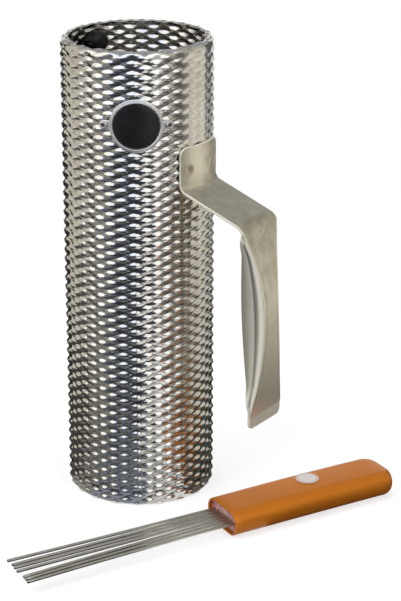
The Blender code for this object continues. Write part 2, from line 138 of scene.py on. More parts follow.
class Board:
    """A node tree with short ways to add nodes and join them."""

    def __init__(self, tree: Tree) -> None:
        """Keep the tree to work on."""
        self.tree = tree

    @classmethod
    def of(cls, owner: bpy.types.Material | bpy.types.World) -> Board:
        """Empty the tree of a material or world and return a board on it.

        Args:
            owner: The material or world.

        Returns:
            The board.
        """
        owner.use_nodes = True
        owner.node_tree.nodes.clear()
        return cls(owner.node_tree)

    def add(self, kind: str, inputs: Mapping[str | int, Any] | None = None, **settings: Any) -> Node:
        """Add a node.

        Args:
            kind: The node's type name.
            inputs: Values or sockets for the node's inputs, by name or number.
            **settings: Attributes to set on the node first.

        Returns:
            The new node.
        """
        node = self.tree.nodes.new(kind)
        for name, value in settings.items():
            setattr(node, name, value)
        for key, value in (inputs or {}).items():
            self.feed(node.inputs[key], value)
        return node

    def put(self, kind: str, inputs: Mapping[str | int, Any] | None = None, **settings: Any) -> Socket:
        """Add a node in the same way and return its first output."""
        return self.add(kind, inputs, **settings).outputs[0]

    def feed(self, socket: Socket, value: Any) -> None:
        """Join a socket to an input, or set the input's own value.

        Args:
            socket: The input.
            value: Another node's output, or a plain value. A colour may come without its alpha.
        """
        if isinstance(value, Socket):
            self.tree.links.new(value, socket)
        elif socket.type == "RGBA" and len(value) == 3:
            socket.default_value = (*value, 1.0)
        else:
            socket.default_value = value

    def math(self, operation: str, *values: Any) -> Socket:
        """Add a Math node on the values and return its result."""
        return self.put("ShaderNodeMath", dict(enumerate(values)), operation=operation)

    def plus(self, *values: Any) -> Socket:
        """Return the sum of the values."""
        return functools.reduce(lambda one, other: self.math("ADD", one, other), values)

    def times(self, *values: Any) -> Socket:
        """Return the product of the values."""
        return functools.reduce(lambda one, other: self.math("MULTIPLY", one, other), values)

    def minus(self, first: Any, second: Any) -> Socket:
        """Return the first value less the second."""
        return self.math("SUBTRACT", first, second)

    def times_plus(self, value: Any, factor: Any, extra: Any) -> Socket:
        """Return a value times a factor, plus something."""
        return self.math("MULTIPLY_ADD", value, factor, extra)

    def most(self, first: Any, second: Any) -> Socket:
        """Return the larger of two values."""
        return self.math("MAXIMUM", first, second)

    def weigh(self, *terms: tuple[Socket, float]) -> Socket:
        """Return the sum of the values, each times its weight."""
        return self.plus(*(self.times(value, weight) for value, weight in terms))

    def vector(self, *parts: Any) -> Socket:
        """Return a vector made of its parts."""
        return self.put("ShaderNodeCombineXYZ", dict(enumerate(parts)))

    def mix(self, share: Any, first: Any, second: Any) -> Socket:
        """Mix two colours by the share of the second, from 0 to 1, and return the result."""
        return self.add("ShaderNodeMix", {0: share, 6: first, 7: second}, data_type="RGBA").outputs[2]

    def spread(self, value: Any, low: Any, high: Any, to_low: Any = 0.0, to_high: Any = 1.0) -> Socket:
        """Map a value from one range to another with soft ends and return the result."""
        inputs = {0: value, 1: low, 2: high, 3: to_low, 4: to_high}
        return self.put("ShaderNodeMapRange", inputs, interpolation_type="SMOOTHSTEP")

    def noise(self, where: Any, scale: Any, detail: float = 3.0, roughness: float = 0.55) -> Socket:
        """Add a noise texture and return its value."""
        inputs = {"Vector": where, "Scale": scale, "Detail": detail, "Roughness": roughness}
        return self.put("ShaderNodeTexNoise", inputs)

    def attribute(self, name: str) -> Socket:
        """Return the value that a piece's mesh carries under a name."""
        return self.add("ShaderNodeAttribute", attribute_name=name).outputs["Fac"]

    def distance(self, first: Any, second: Any) -> Socket:
        """Return the distance between two points."""
        return self.add("ShaderNodeVectorMath", {0: first, 1: second}, operation="DISTANCE").outputs["Value"]

    def where(self, turn: float = 0.0, stretch: Triple = (1.0, 1.0, 1.0)) -> Socket:
        """Find the place on the piece.

        Args:
            turn: How far a pattern is turned about Z.
            stretch: How far it is drawn out along each axis.

        Returns:
            Object coordinates, turned and stretched.
        """
        spot = self.add("ShaderNodeTexCoord").outputs["Object"]
        if turn == 0.0 and stretch == (1.0, 1.0, 1.0):
            return spot
        inputs = {"Vector": spot, "Rotation": (0.0, 0.0, turn), "Scale": stretch}
        return self.put("ShaderNodeMapping", inputs, vector_type="TEXTURE")

    def effect(self, effect: Effect, spot: Socket, scale: float, reach: float) -> Socket:
        """Place a shared effect and return its mask."""
        inputs = {"Vector": spot, "Scale": scale, "Reach": reach}
        return self.put("ShaderNodeGroup", inputs, node_tree=Effects.get(effect))

    def bump(self, height: Any, strength: float, depth: float = BUMP_DEPTH) -> Socket:
        """Return the normal that a height gives."""
        return self.put("ShaderNodeBump", {"Strength": strength, "Distance": depth, "Height": height})

    def seen(self) -> Socket:
        """Return 1 where the camera sees a thing, also through glass or in a mirror, and else 0."""
        path = self.add("ShaderNodeLightPath").outputs
        return self.most(self.most(path["Is Camera Ray"], path["Is Transmission Ray"]), path["Is Glossy Ray"])


def start_group(
    name: str, inputs: Mapping[str, Any], outputs: Mapping[str, Any], kind: str
) -> tuple[Tree, Board, Sockets, Node]:
    """Start a node group.

    Args:
        name: The group's name.
        inputs: A value of the right kind for each input, by its name.
        outputs: The same for each output.
        kind: The tree's type.

    Returns:
        The tree, its board, its input sockets by name, and its output node.
    """
    tree = bpy.data.node_groups.new(name, kind)
    for way, sockets in (("INPUT", inputs), ("OUTPUT", outputs)):
        for label, value in sockets.items():
            tree.interface.new_socket(label, in_out=way, socket_type=SOCKETS[type(value)])
    board = Board(tree)
    return tree, board, board.add("NodeGroupInput").outputs, board.add("NodeGroupOutput")


class Effects:
    """Node groups of the shared effects, each built once. Reach is how wide the marks or soft edges are."""

    _made: dict[Effect, Tree] = {}

    @classmethod
    def get(cls, effect: Effect) -> Tree:
        """Find an effect's node group, building it on first use.

        Args:
            effect: The effect.

        Returns:
            Its node group.
        """
        if effect not in cls._made:
            inputs = {"Vector": (0.0, 0.0, 0.0), "Scale": 1.0, "Reach": 0.0}
            tree, board, given, result = start_group(effect.value, inputs, {"Mask": 0.0}, "ShaderNodeTree")
            mask = getattr(cls, f"_{effect.value}")(board, *(given[label] for label in inputs))
            board.feed(result.inputs["Mask"], mask)
            cls._made[effect] = tree
        return cls._made[effect]

    @staticmethod
    def _grain(board: Board, spot: Socket, scale: Socket, reach: Socket) -> Socket:
        """Return fine lines: what rolling, brushing or drawing leaves in metal."""
        low, high = board.minus(0.5, reach), board.plus(0.5, reach)
        return board.spread(board.noise(spot, scale, 4.0, 0.7), low, high)

    @staticmethod
    def _blotches(board: Board, spot: Socket, scale: Socket, reach: Socket) -> Socket:
        """Return slow patches: handling marks, tarnish and uneven colour."""
        low, high = board.minus(0.5, reach), board.plus(0.5, reach)
        return board.spread(board.noise(spot, scale, 5.0, 0.6), low, high)

    @staticmethod
    def _scratches(board: Board, spot: Socket, scale: Socket, reach: Socket) -> Socket:
        """Draw thin stray scratches that cross each other.

        Args:
            board: The group's board.
            spot: The place on the piece.
            scale: How close the scratches lie.
            reach: How wide they are.

        Returns:
            Their mask.
        """
        masks = []
        for turn in ((0.3, 0.5, 0.9), (1.1, -0.4, 2.2)):
            inputs = {"Vector": spot, "Rotation": turn, "Scale": (1.0, 1.0, 0.045)}
            laid = board.put("ShaderNodeMapping", inputs)
            off = board.math("ABSOLUTE", board.minus(board.noise(laid, scale, 1.0), 0.5))
            gate = board.spread(board.noise(laid, 37.0, 1.0), 0.52, 0.6)
            masks.append(board.times(board.spread(off, 0.0, reach, 1.0, 0.0), gate))
        return board.most(*masks)

    @staticmethod
    def _pits(board: Board, spot: Socket, scale: Socket, reach: Socket) -> Socket:
        """Return small round specks: dust, pinholes and orange peel."""
        away = board.put("ShaderNodeTexVoronoi", {"Vector": spot, "Scale": scale})
        few = board.spread(board.noise(spot, scale, 0.0), 0.5, 0.62)
        return board.times(board.spread(away, 0.0, reach, 1.0, 0.0), few)


# Finishes


@dataclass(frozen=True)
class Finish:
    """A finish that can make its own material."""

    name: str

    def material(self) -> bpy.types.Material:
        """Find the finish's material, making it on first use.

        Returns:
            The material.
        """
        label = f"finish_{self.name}"
        found = bpy.data.materials.get(label)
        if found:
            return found
        material = bpy.data.materials.new(label)
        board = Board.of(material)
        shader = board.put("ShaderNodeBsdfPrincipled", self.dress(board))
        board.add("ShaderNodeOutputMaterial", {"Surface": shader})
        return material

    def dress(self, board: Board) -> dict[str, Any]:
        """Return what goes into the shader's inputs. Each finish has its own way."""
        raise NotImplementedError


@dataclass(frozen=True)
class MetalFinish(Finish):
    """Plain metal with a grain, slow patches and a few scratches. It may carry painted shade in its bores."""

    colour: Colour
    stain: Colour
    smooth: float
    dull: float
    grain: float = 900.0
    stretch: Triple = (1.0, 1.0, 1.0)
    turn: float = 0.0
    relief: float = 0.12
    shaded_bores: bool = False

    def dress(self, board: Board) -> dict[str, Any]:
        """Mix colour, gloss and relief from the shared effects.

        Args:
            board: The material's board.

        Returns:
            The shader's inputs.
        """
        spot = board.where()
        lines = board.effect(Effect.GRAIN, board.where(self.turn, self.stretch), scale=self.grain, reach=0.25)
        patch = board.effect(Effect.BLOTCHES, spot, scale=60.0, reach=0.2)
        scratch = board.effect(Effect.SCRATCHES, spot, scale=420.0, reach=0.01)
        tone = board.mix(board.times(patch, 0.7), self.colour, self.stain)
        # Painted shade: the bore's points are darkened towards the bore shade colour.
        if self.shaded_bores:
            tone = board.mix(board.attribute("soot"), tone, BORE_SHADE)
        shade_level = board.weigh((lines, 0.55), (patch, 0.45))
        return {
            "Base Color": tone,
            "Roughness": board.spread(shade_level, 0.0, 1.0, self.smooth, self.dull),
            "Metallic": 1.0,
            "Normal": board.bump(board.minus(lines, scratch), self.relief),
        }


@dataclass(frozen=True)
class EmbossedSheetFinish(Finish):
    """Bright embossed sheet: rubbed on its crests, dull and painted darker down in its grooves, as shade."""

    bright: Colour = (0.79, 0.785, 0.77)
    tarnish: Colour = (0.60, 0.575, 0.53)
    groove_shade: Colour = (0.46, 0.44, 0.40)

    def dress(self, board: Board) -> dict[str, Any]:
        """Use the sheet's own depth to place the painted shade in the grooves and the rub marks.

        Args:
            board: The material's board.

        Returns:
            The shader's inputs.
        """
        spot = board.where()
        rise = board.attribute("rise")
        lines = board.effect(Effect.GRAIN, board.where(stretch=(1.0, 1.0, 6.0)), scale=700.0, reach=0.25)
        patch = board.effect(Effect.BLOTCHES, spot, scale=24.0, reach=0.18)
        scratch = board.effect(Effect.SCRATCHES, spot, scale=330.0, reach=0.012)
        ragged = board.plus(rise, board.times(board.noise(spot, 350.0), 0.16))
        # Painted shade: the colour darkens towards the groove shade colour where the sheet lies low in its
        # grooves.
        shade_in_grooves = board.spread(ragged, 0.06, 0.2, 0.7, 0.0)
        rub_and_highlight = board.times(board.spread(rise, 0.8, 1.0), scratch)
        tone = board.mix(board.times(patch, 0.45), self.bright, self.tarnish)
        dull = board.weigh((lines, 0.4), (patch, 0.35), (shade_in_grooves, 0.6), (rub_and_highlight, 0.8))
        return {
            "Base Color": board.mix(shade_in_grooves, tone, self.groove_shade),
            "Roughness": board.spread(dull, 0.0, 1.2, 0.02, 0.09),
            "Metallic": 1.0,
            "Normal": board.bump(board.minus(lines, board.times(scratch, 1.5)), 0.06),
        }


@dataclass(frozen=True)
class StripFinish(Finish):
    """Satin strip with heat tint round its spot welds, patchy painted shade in places and a pale, less
    metallic painted highlight in others.
    """

    welds: tuple[Triple, ...]
    turn: float
    colour: Colour = (0.86, 0.83, 0.72)
    tarnish: Colour = (0.74, 0.70, 0.59)
    painted_shade: Colour = (0.42, 0.385, 0.30)
    highlight_tone: Colour = (0.95, 0.91, 0.79)
    straw: Colour = (0.62, 0.54, 0.39)
    scale: Colour = (0.40, 0.37, 0.32)
    weld_radius: float = 0.0028

    def dress(self, board: Board) -> dict[str, Any]:
        """Mix the satin sheet, the painted shade and highlight, and the welds' tint rings.

        Args:
            board: The material's board.

        Returns:
            The shader's inputs.
        """
        spot = board.where()
        brushed = board.where(self.turn, (1.0, 1.0, 14.0))
        lines = board.effect(Effect.GRAIN, brushed, scale=1500.0, reach=0.25)
        patch = board.effect(Effect.BLOTCHES, spot, scale=45.0, reach=0.16)
        scratch = board.effect(Effect.SCRATCHES, spot, scale=260.0, reach=0.01)
        # The mesh's shading value is painted light: above zero it paints shade in a grimy colour, in patches,
        # and below zero it paints a pale highlight.
        wear = board.attribute("wear")
        rub_and_highlight = board.most(board.times(wear, -1.0), 0.0)
        shaded = board.most(wear, 0.0)
        shaded = board.times(shaded, board.spread(board.noise(spot, 120.0, 5.0), 0.3, 0.7, 0.45, 1.0))
        tone = board.mix(board.times(patch, 0.6), self.colour, self.tarnish)
        tone = board.mix(shaded, tone, self.painted_shade)
        tone = board.mix(rub_and_highlight, tone, self.highlight_tone)
        wobble = board.times(board.minus(board.noise(spot, 600.0), 0.5), 0.0016)
        scorched: Any = 0.0
        for weld in self.welds:
            away = board.plus(board.distance(spot, weld), wobble)
            ring = board.spread(away, self.weld_radius * 0.9, self.weld_radius * 2.0, 0.85, 0.0)
            heart = board.spread(away, self.weld_radius * 0.3, self.weld_radius * 0.95, 0.8, 0.0)
            tone = board.mix(heart, board.mix(ring, tone, self.straw), self.scale)
            scorched = board.most(scorched, ring)
        dull = board.weigh((lines, 0.4), (patch, 0.3), (board.most(shaded, scorched), 0.5))
        return {
            "Base Color": tone,
            "Roughness": board.spread(dull, 0.0, 1.1, 0.30, 0.46),
            # Metallic drops under the painted highlight, so that diffuse light lightens it.
            "Metallic": board.times_plus(rub_and_highlight, -0.8, board.spread(shaded, 0.0, 1.0, 0.95, 0.9)),
            "Normal": board.bump(board.minus(lines, scratch), 0.1),
        }


@dataclass(frozen=True)
class EnamelFinish(Finish):
    """Black stove enamel with a slight orange peel and dust."""

    colour: Colour = (0.010, 0.010, 0.012)
    dust: Colour = (0.09, 0.09, 0.095)

    def dress(self, board: Board) -> dict[str, Any]:
        """Mix dust and peel into the black.

        Args:
            board: The material's board.

        Returns:
            The shader's inputs.
        """
        spot = board.where()
        pits = board.effect(Effect.PITS, spot, scale=1500.0, reach=0.3)
        patch = board.effect(Effect.BLOTCHES, spot, scale=110.0, reach=0.2)
        return {
            "Base Color": board.mix(board.times(pits, 0.7), self.colour, self.dust),
            "Roughness": board.spread(patch, 0.0, 1.0, 0.26, 0.38),
            "Specular IOR Level": 0.4,
            "Normal": board.bump(board.plus(board.noise(spot, 1100.0, 1.0), pits), 0.1),
        }


@dataclass(frozen=True)
class RubberFinish(Finish):
    """Moulded black rubber, glossy where it is clean and grey where dust lies on it."""

    colour: Colour = (0.008, 0.008, 0.009)
    bloom: Colour = (0.014, 0.014, 0.014)

    def dress(self, board: Board) -> dict[str, Any]:
        """Mix the bloom and the mould's fine texture.

        Args:
            board: The material's board.

        Returns:
            The shader's inputs.
        """
        spot = board.where()
        patch = board.effect(Effect.BLOTCHES, spot, scale=170.0, reach=0.15)
        pits = board.effect(Effect.PITS, spot, scale=1300.0, reach=0.35)
        return {
            "Base Color": board.mix(patch, self.colour, self.bloom),
            "Roughness": board.spread(patch, 0.0, 1.0, 0.34, 0.5),
            "Specular IOR Level": 0.25,
            "Normal": board.bump(board.plus(pits, board.noise(spot, 1800.0)), 0.08),
        }


@dataclass(frozen=True)
class LacquerFinish(Finish):
    """Satin orange metallic lacquer with a fine lengthwise figure."""

    turn: float
    colour: Colour = (0.68, 0.20, 0.006)
    deep: Colour = (0.52, 0.13, 0.003)
    pale: Colour = (0.74, 0.24, 0.010)

    def dress(self, board: Board) -> dict[str, Any]:
        """Mix the figure, slow shade and specks.

        Args:
            board: The material's board.

        Returns:
            The shader's inputs.
        """
        spot = board.where()
        figure = board.effect(Effect.GRAIN, board.where(self.turn, (16.0, 1.0, 1.0)), scale=800.0, reach=0.25)
        patch = board.effect(Effect.BLOTCHES, spot, scale=28.0, reach=0.2)
        pits = board.effect(Effect.PITS, spot, scale=900.0, reach=0.22)
        tone = board.mix(board.times(figure, 0.45), self.colour, self.deep)
        tone = board.mix(board.times(patch, 0.35), tone, self.pale)
        return {
            "Base Color": board.mix(board.times(pits, 0.35), tone, self.deep),
            "Roughness": board.spread(board.weigh((figure, 0.5), (patch, 0.5)), 0.0, 1.0, 0.33, 0.47),
            "Metallic": 0.5,
            "Specular IOR Level": 0.2,
            "Coat Weight": 0.4,
            "Coat Roughness": 0.3,
            "Normal": board.bump(board.minus(figure, pits), 0.05),
        }


@dataclass(frozen=True)
class ResinFinish(Finish):
    """Cloudy purplish casting resin."""

    colour: Colour = (0.52, 0.23, 0.21)
    cloud: Colour = (0.76, 0.46, 0.43)

    def dress(self, board: Board) -> dict[str, Any]:
        """Mix clouds and trapped bubbles.

        Args:
            board: The material's board.

        Returns:
            The shader's inputs.
        """
        spot = board.where()
        clouds = board.effect(Effect.BLOTCHES, spot, scale=260.0, reach=0.15)
        bubbles = board.effect(Effect.PITS, spot, scale=750.0, reach=0.4)
        tone = board.mix(clouds, self.colour, self.cloud)
        return {
            "Base Color": board.mix(board.times(bubbles, 0.5), tone, self.cloud),
            "Roughness": board.spread(clouds, 0.0, 1.0, 0.16, 0.3),
            "Normal": board.bump(board.minus(clouds, bubbles), 0.3, 2 * BUMP_DEPTH),
        }


@dataclass(frozen=True)
class LabelFinish(Finish):
    """White printed film with a plain ring round its edge."""

    centre: Triple
    radius: float
    colour: Colour = (0.70, 0.66, 0.63)
    fibre: Colour = (0.62, 0.58, 0.55)
    ink: Colour = (0.46, 0.23, 0.16)
    ring_share: float = 0.86
    ring_edges: Pair = (0.0003, 0.0006)

    def dress(self, board: Board) -> dict[str, Any]:
        """Print a thin ring and a little paper tooth.

        Args:
            board: The material's board.

        Returns:
            The shader's inputs.
        """
        spot = board.where()
        off = board.minus(board.distance(spot, self.centre), self.radius * self.ring_share)
        ring = board.spread(board.math("ABSOLUTE", off), *self.ring_edges, 0.85, 0.0)
        tooth = board.noise(spot, 2600.0, 4.0)
        tone = board.mix(board.spread(tooth, 0.35, 0.7), self.colour, self.fibre)
        return {
            "Base Color": board.mix(ring, tone, self.ink),
            "Roughness": board.spread(tooth, 0.2, 0.8, 0.42, 0.6),
            "Normal": board.bump(tooth, 0.08),
        }


# Mesh helpers


def link(name: str, data: bpy.types.ID) -> Piece:
    """Put a new object into the scene.

    Args:
        name: The object's name.
        data: Its mesh, lamp or camera.

    Returns:
        The object, at the origin.
    """
    piece = bpy.data.objects.new(name, data)
    bpy.context.scene.collection.objects.link(piece)
    return piece


def plain_mesh(name: str, points: Iterable[Sequence[float]], faces: Faces) -> bpy.types.Mesh:
    """Return a mesh made from points and faces as they are."""
    mesh = bpy.data.meshes.new(name)
    mesh.from_pydata([tuple(point) for point in points], [], faces)
    return mesh


def make_piece(name: str, points: Iterable[Sequence[float]], faces: Faces, sharp: float = 40.0) -> Piece:
    """Make an object from points and faces, with its normals outwards.

    Args:
        name: The piece's name.
        points: Its points, already in place.
        faces: Its faces, as numbers of points.
        sharp: The angle in degrees past which an edge is shaded sharp.

    Returns:
        The object, at the origin.
    """
    mesh = plain_mesh(name, points, faces)
    bm = bmesh.new()
    bm.from_mesh(mesh)
    bmesh.ops.remove_doubles(bm, verts=bm.verts, dist=1e-7)
    bmesh.ops.recalc_face_normals(bm, faces=bm.faces)
    bm.to_mesh(mesh)
    bm.free()
    mesh.shade_smooth()
    mesh.set_sharp_from_angle(angle=math.radians(sharp))
    return link(name, mesh)


def settle(piece: Piece) -> Piece:
    """Turn what the modifiers make into the piece's plain mesh.

    Args:
        piece: The piece, with its modifiers.

    Returns:
        The same piece without them.
    """
    bpy.context.view_layer.update()
    graph = bpy.context.evaluated_depsgraph_get()
    mesh = bpy.data.meshes.new_from_object(piece.evaluated_get(graph))
    mesh.name = piece.name
    piece.modifiers.clear()
    piece.data = mesh
    return piece


def grow(
    name: str,
    values: Mapping[str, Any],
    build: Callable[[Board, Sockets], Socket],
    seed_mesh: bpy.types.Mesh | None = None,
) -> Piece:
    """Make a piece with a Geometry Nodes tree, which ends in Realize Instances and Set Material.

    Args:
        name: The piece's name.
        values: Values for the tree's named inputs, with its material. None stands for the mesh that comes in.
        build: Fills the tree in, from its board and its inputs, and returns the geometry.
        seed_mesh: The mesh that the tree starts from, if it needs one.

    Returns:
        The finished object, with a plain mesh.
    """
    tree, board, given, result = start_group(name, values, {"Geometry": None}, "GeometryNodeTree")
    shape = board.put("GeometryNodeRealizeInstances", {"Geometry": build(board, given)})
    shape = board.put("GeometryNodeSetMaterial", {"Geometry": shape, "Material": given["Material"]})
    board.feed(result.inputs[0], shape)
    piece = link(name, seed_mesh or bpy.data.meshes.new(name))
    modifier = piece.modifiers.new("make", "NODES")
    modifier.node_group = tree
    for item in tree.interface.items_tree:
        if item.in_out == "INPUT" and values[item.name] is not None:
            modifier[item.identifier] = values[item.name]
    return settle(piece)


def loft(loops: Loops, close_ends: bool = True) -> tuple[list, Faces]:
    """Join closed loops of points into a skin.

    Args:
        loops: Loops with the same number of points each.
        close_ends: Whether the first and last loops get a face.

    Returns:
        The points and the faces.
    """
    count = len(loops[0])
    points = [point for loop in loops for point in loop]
    faces: Faces = []
    for low in range(0, (len(loops) - 1) * count, count):
        for index in range(count):
            after = (index + 1) % count
            faces.append((low + index, low + after, low + count + after, low + count + index))
    if close_ends:
        faces.append(tuple(reversed(range(count))))
        faces.append(tuple(range((len(loops) - 1) * count, len(loops) * count)))
    return points, faces


def lathe(profile: Sequence[Pair], segments: int, frame: Matrix, ring: bool = False) -> tuple[list, Faces]:
    """Turn a profile about Z and put it in place.

    Args:
        profile: (radius, height) pairs. Points on the axis close the shape.
        segments: How many steps go round.
        frame: Where the shape goes.
        ring: Whether the last point joins the first.

    Returns:
        The points and the faces.
    """
    rows = list(profile) + ([profile[0]] if ring else [])
    points, faces = [], []
    for step in range(segments):
        turn = math.tau * step / segments
        points.extend(frame @ Vector((r * math.cos(turn), r * math.sin(turn), h)) for r, h in rows)
    count = len(rows)
    for step in range(segments):
        here, there = step * count, (step + 1) % segments * count
        faces.extend((here + row, there + row, there + row + 1, here + row + 1) for row in range(count - 1))
    return points, faces


@dataclass
class Assembly:
    """A group of pieces on one body, built round the tube's axis."""

    axis: Vector

    def radial(self, angle: float, radius: float, height: float) -> Matrix:
        """Return a frame on the tube whose Z points straight out, at an angle round from the badge."""
        turn, tip = Matrix.Rotation(angle, 4, "Z"), Matrix.Rotation(math.pi / 2, 4, "X")
        return Matrix.Translation(self.axis) @ turn @ Matrix.Translation((0.0, -radius, height)) @ tip

    @staticmethod
    def hand_over(piece: Piece, finish: Finish, slot: Slot, body: Body, *nodes: str) -> None:
        """Give a piece its finish and its place in the frame.

        Args:
            piece: The finished piece.
            finish: Its finish.
            slot: The record's slot for it. It is not used.
            body: The body that carries it.
            *nodes: The solids that it stands for.
        """
        piece.data.materials.clear()
        piece.data.materials.append(finish.material())
        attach(piece, body.value)
        if nodes:
            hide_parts(*nodes)
        LOG.info("%s: %d faces, %s", piece.name, len(piece.data.polygons), finish.name)


# The tube


@dataclass
class Tube(Assembly):
    """The embossed sheet rolled into an open tube, with its upper edge curled in.

    Bosses and grooves show on both sides of the sheet, and fade out round the lip.
    """

    height: float = 0.355
    valley_radius: float = 0.0552
    boss_height: float = 0.0019
    sheet: float = 0.0006
    columns: int = 40
    rows: int = 93
    phase: Pair = (-0.73, 1.2)
    softness: float = 0.26
    lip_radius: float = 0.0038
    lip_turn: float = math.radians(120)
    lip_rows: int = 2
    lip_wrinkle: float = 0.3
    lip_relief: float = 0.6
    # Waves of the lip's unevenness, and the rows past the last whole one over which its relief fades.
    lip_waves: float = 6.0
    lip_fade: Pair = (-1.0, 1.6)
    steps: tuple[int, int] = (3, 4)
    seam_angle: float = math.radians(34.0)
    seam_width: float = math.radians(34.0)
    seam_lift: float = 0.0006
    seam_relief: float = 0.45
    seam_foot: float = 0.25
    # How softly the lap begins, round the tube and upwards, and the shares of its width over which it ends.
    seam_edge: float = 0.03
    seam_rise: float = 0.03
    lap_fade: Pair = (0.75, 1.0)
    flat_fade: Pair = (1.4, 1.85)

    @property
    def seat_radius(self) -> float:
        """Return the radius at which other pieces rest on the crests."""
        return self.valley_radius + self.boss_height + GAP

    @property
    def bore_radius(self) -> float:
        """Return the radius inside the valleys."""
        return self.valley_radius - self.sheet

    @staticmethod
    def press_flat(board: Board, given: Sockets) -> Socket:
        """Lay out the flat sheet, as a grid whose unit is half a boss.

        Args:
            board: The tree's board.
            given: The tree's inputs.

        Returns:
            The grid. Each point keeps how far it is pressed out, and its way out and its row once rolled up.
        """
        whole = board.plus(given["Rows"], given["Lip Rows"])
        grid = {
            "Size X": given["Columns"],
            "Size Y": whole,
            "Vertices X": board.times_plus(given["Columns"], given["Steps Across"], 1.0),
            "Vertices Y": board.times_plus(whole, given["Steps Up"], 1.0),
        }
        flat = board.put("GeometryNodeMeshGrid", grid)
        corner = board.vector(board.times(given["Columns"], 0.5), board.times(whole, 0.5))
        flat = board.put("GeometryNodeTransform", {"Geometry": flat, "Translation": corner})
        spot = board.put("GeometryNodeInputPosition")
        across, up, _ = board.add("ShaderNodeSeparateXYZ", {0: spot}).outputs

        # Bosses stand at both halves of the wave, and the grooves between them are softly rounded.
        ways = (board.plus(across, given["Phase Across"]), board.plus(up, given["Phase Up"]))
        waves = [board.math("COSINE", board.times(way, math.pi)) for way in ways]
        wave = board.times(board.plus(*waves), 0.5)
        soft = given["Softness"]

        def soften(value: Any) -> Socket:
            """Return a value's size, rounded off near zero."""
            return board.math("SQRT", board.times_plus(value, value, board.times(soft, soft)))

        rise = board.math("DIVIDE", board.minus(soften(wave), soft), board.minus(soften(1.0), soft))
        angle = board.math("DIVIDE", board.times(across, math.tau), given["Columns"])
        rolled = board.vector(board.math("COSINE", angle), board.math("SINE", angle), up)
        for name, value, kind in (("rise", rise, "FLOAT"), ("rolled", rolled, "FLOAT_VECTOR")):
            store = {"Geometry": flat, "Name": name, "Value": value}
            flat = board.put("GeometryNodeStoreNamedAttribute", store, data_type=kind, domain="POINT")
        return flat

    def emboss(self, board: Board, given: Sockets) -> Socket:
        """Press the pattern into the flat sheet, roll it up and give it its thickness.

        Args:
            board: The tree's board.
            given: The tree's inputs.

        Returns:
            The closed shell.
        """
        flat = self.press_flat(board, given)
        rolled = board.put("GeometryNodeInputNamedAttribute", {"Name": "rolled"}, data_type="FLOAT_VECTOR")
        pressed = board.put("GeometryNodeInputNamedAttribute", {"Name": "rise"}, data_type="FLOAT")
        east, north, up = board.add("ShaderNodeSeparateXYZ", {0: rolled}).outputs
        outward = board.vector(east, north)

        # Past the last row the sheet curls in, a little unevenly, and its relief dies away.
        past = board.most(board.minus(up, given["Rows"]), 0.0)
        curl = board.math("DIVIDE", past, given["Lip Rows"])
        ripple = board.minus(board.noise(outward, self.lip_waves), 0.5)
        uneven = board.times_plus(ripple, given["Lip Wrinkle"], 1.0)
        turn = board.times(curl, uneven, given["Lip Turn"])
        level = board.math("DIVIDE", board.math("MINIMUM", up, given["Rows"]), given["Rows"])
        level = board.times(level, given["Wall Height"])
        near_lip = board.minus(up, board.minus(given["Rows"], 1.0))
        relief = board.spread(near_lip, *self.lip_fade, 1.0, given["Lip Relief"])

        # Beside the handle one end of the sheet laps over the other: it is lifted, and flatter higher up.
        past_seam = board.minus(board.math("ARCTAN2", north, east), given["Seam Angle"])
        edge = board.spread(past_seam, -self.seam_edge, 0.0)
        share = board.math("DIVIDE", past_seam, given["Seam Width"])
        lap = board.times(edge, board.spread(share, *self.lap_fade, 1.0, 0.0))
        above = board.spread(board.minus(level, given["Seam Foot"]), 0.0, self.seam_rise)
        flatter = board.times(edge, board.spread(share, *self.flat_fade, 1.0, 0.0), above)
        flatter = board.times_plus(flatter, board.minus(given["Seam Relief"], 1.0), 1.0)
        sunk = board.times(board.minus(pressed, 1.0), given["Boss Height"])
        lifted = board.times_plus(given["Boss Height"], 0.5, sunk)
        lifted = board.times(lifted, board.times(relief, flatter))
        lifted = board.times_plus(lap, given["Seam Lift"], lifted)
        centre = board.times_plus(given["Boss Height"], 0.5, given["Valley Radius"])
        centre = board.minus(centre, given["Lip Radius"])

        def skin(offset: Any) -> Socket:
            """Roll the sheet up.

            Args:
                offset: How far from the sheet's outer face.

            Returns:
                Where its points go.
            """
            reach = board.plus(given["Lip Radius"], lifted, offset)
            radius = board.times_plus(reach, board.math("COSINE", turn), centre)
            height = board.times_plus(reach, board.math("SINE", turn), level)
            around = board.put("ShaderNodeVectorMath", {0: outward, "Scale": radius}, operation="SCALE")
            upright = board.vector(0.0, 0.0, height)
            return board.put("ShaderNodeVectorMath", {0: around, 1: upright}, operation="ADD")

        # Roll up the inner skin, raise the outer one off it and close the shell.
        inside = board.times(given["Sheet Thickness"], -1.0)
        inner = board.put("GeometryNodeSetPosition", {"Geometry": flat, "Position": skin(inside)})
        inner = board.put("GeometryNodeMergeByDistance", {"Geometry": inner, "Distance": TINY})
        raised = {"Mesh": inner, "Offset Scale": 0.0, "Individual": False}
        outer, crown, _ = board.add("GeometryNodeExtrudeMesh", raised).outputs
        placed = {"Geometry": outer, "Selection": crown, "Position": skin(0.0)}
        outer = board.put("GeometryNodeSetPosition", placed)
        joined = board.add("GeometryNodeJoinGeometry")
        for part in (board.put("GeometryNodeFlipFaces", {"Mesh": inner}), outer):
            board.feed(joined.inputs[0], part)
        shell = board.put("GeometryNodeMergeByDistance", {"Geometry": joined.outputs[0], "Distance": TINY})
        shell = board.put("GeometryNodeTransform", {"Geometry": shell, "Translation": given["Axis"]})
        return board.put("GeometryNodeSetShadeSmooth", {"Geometry": shell})

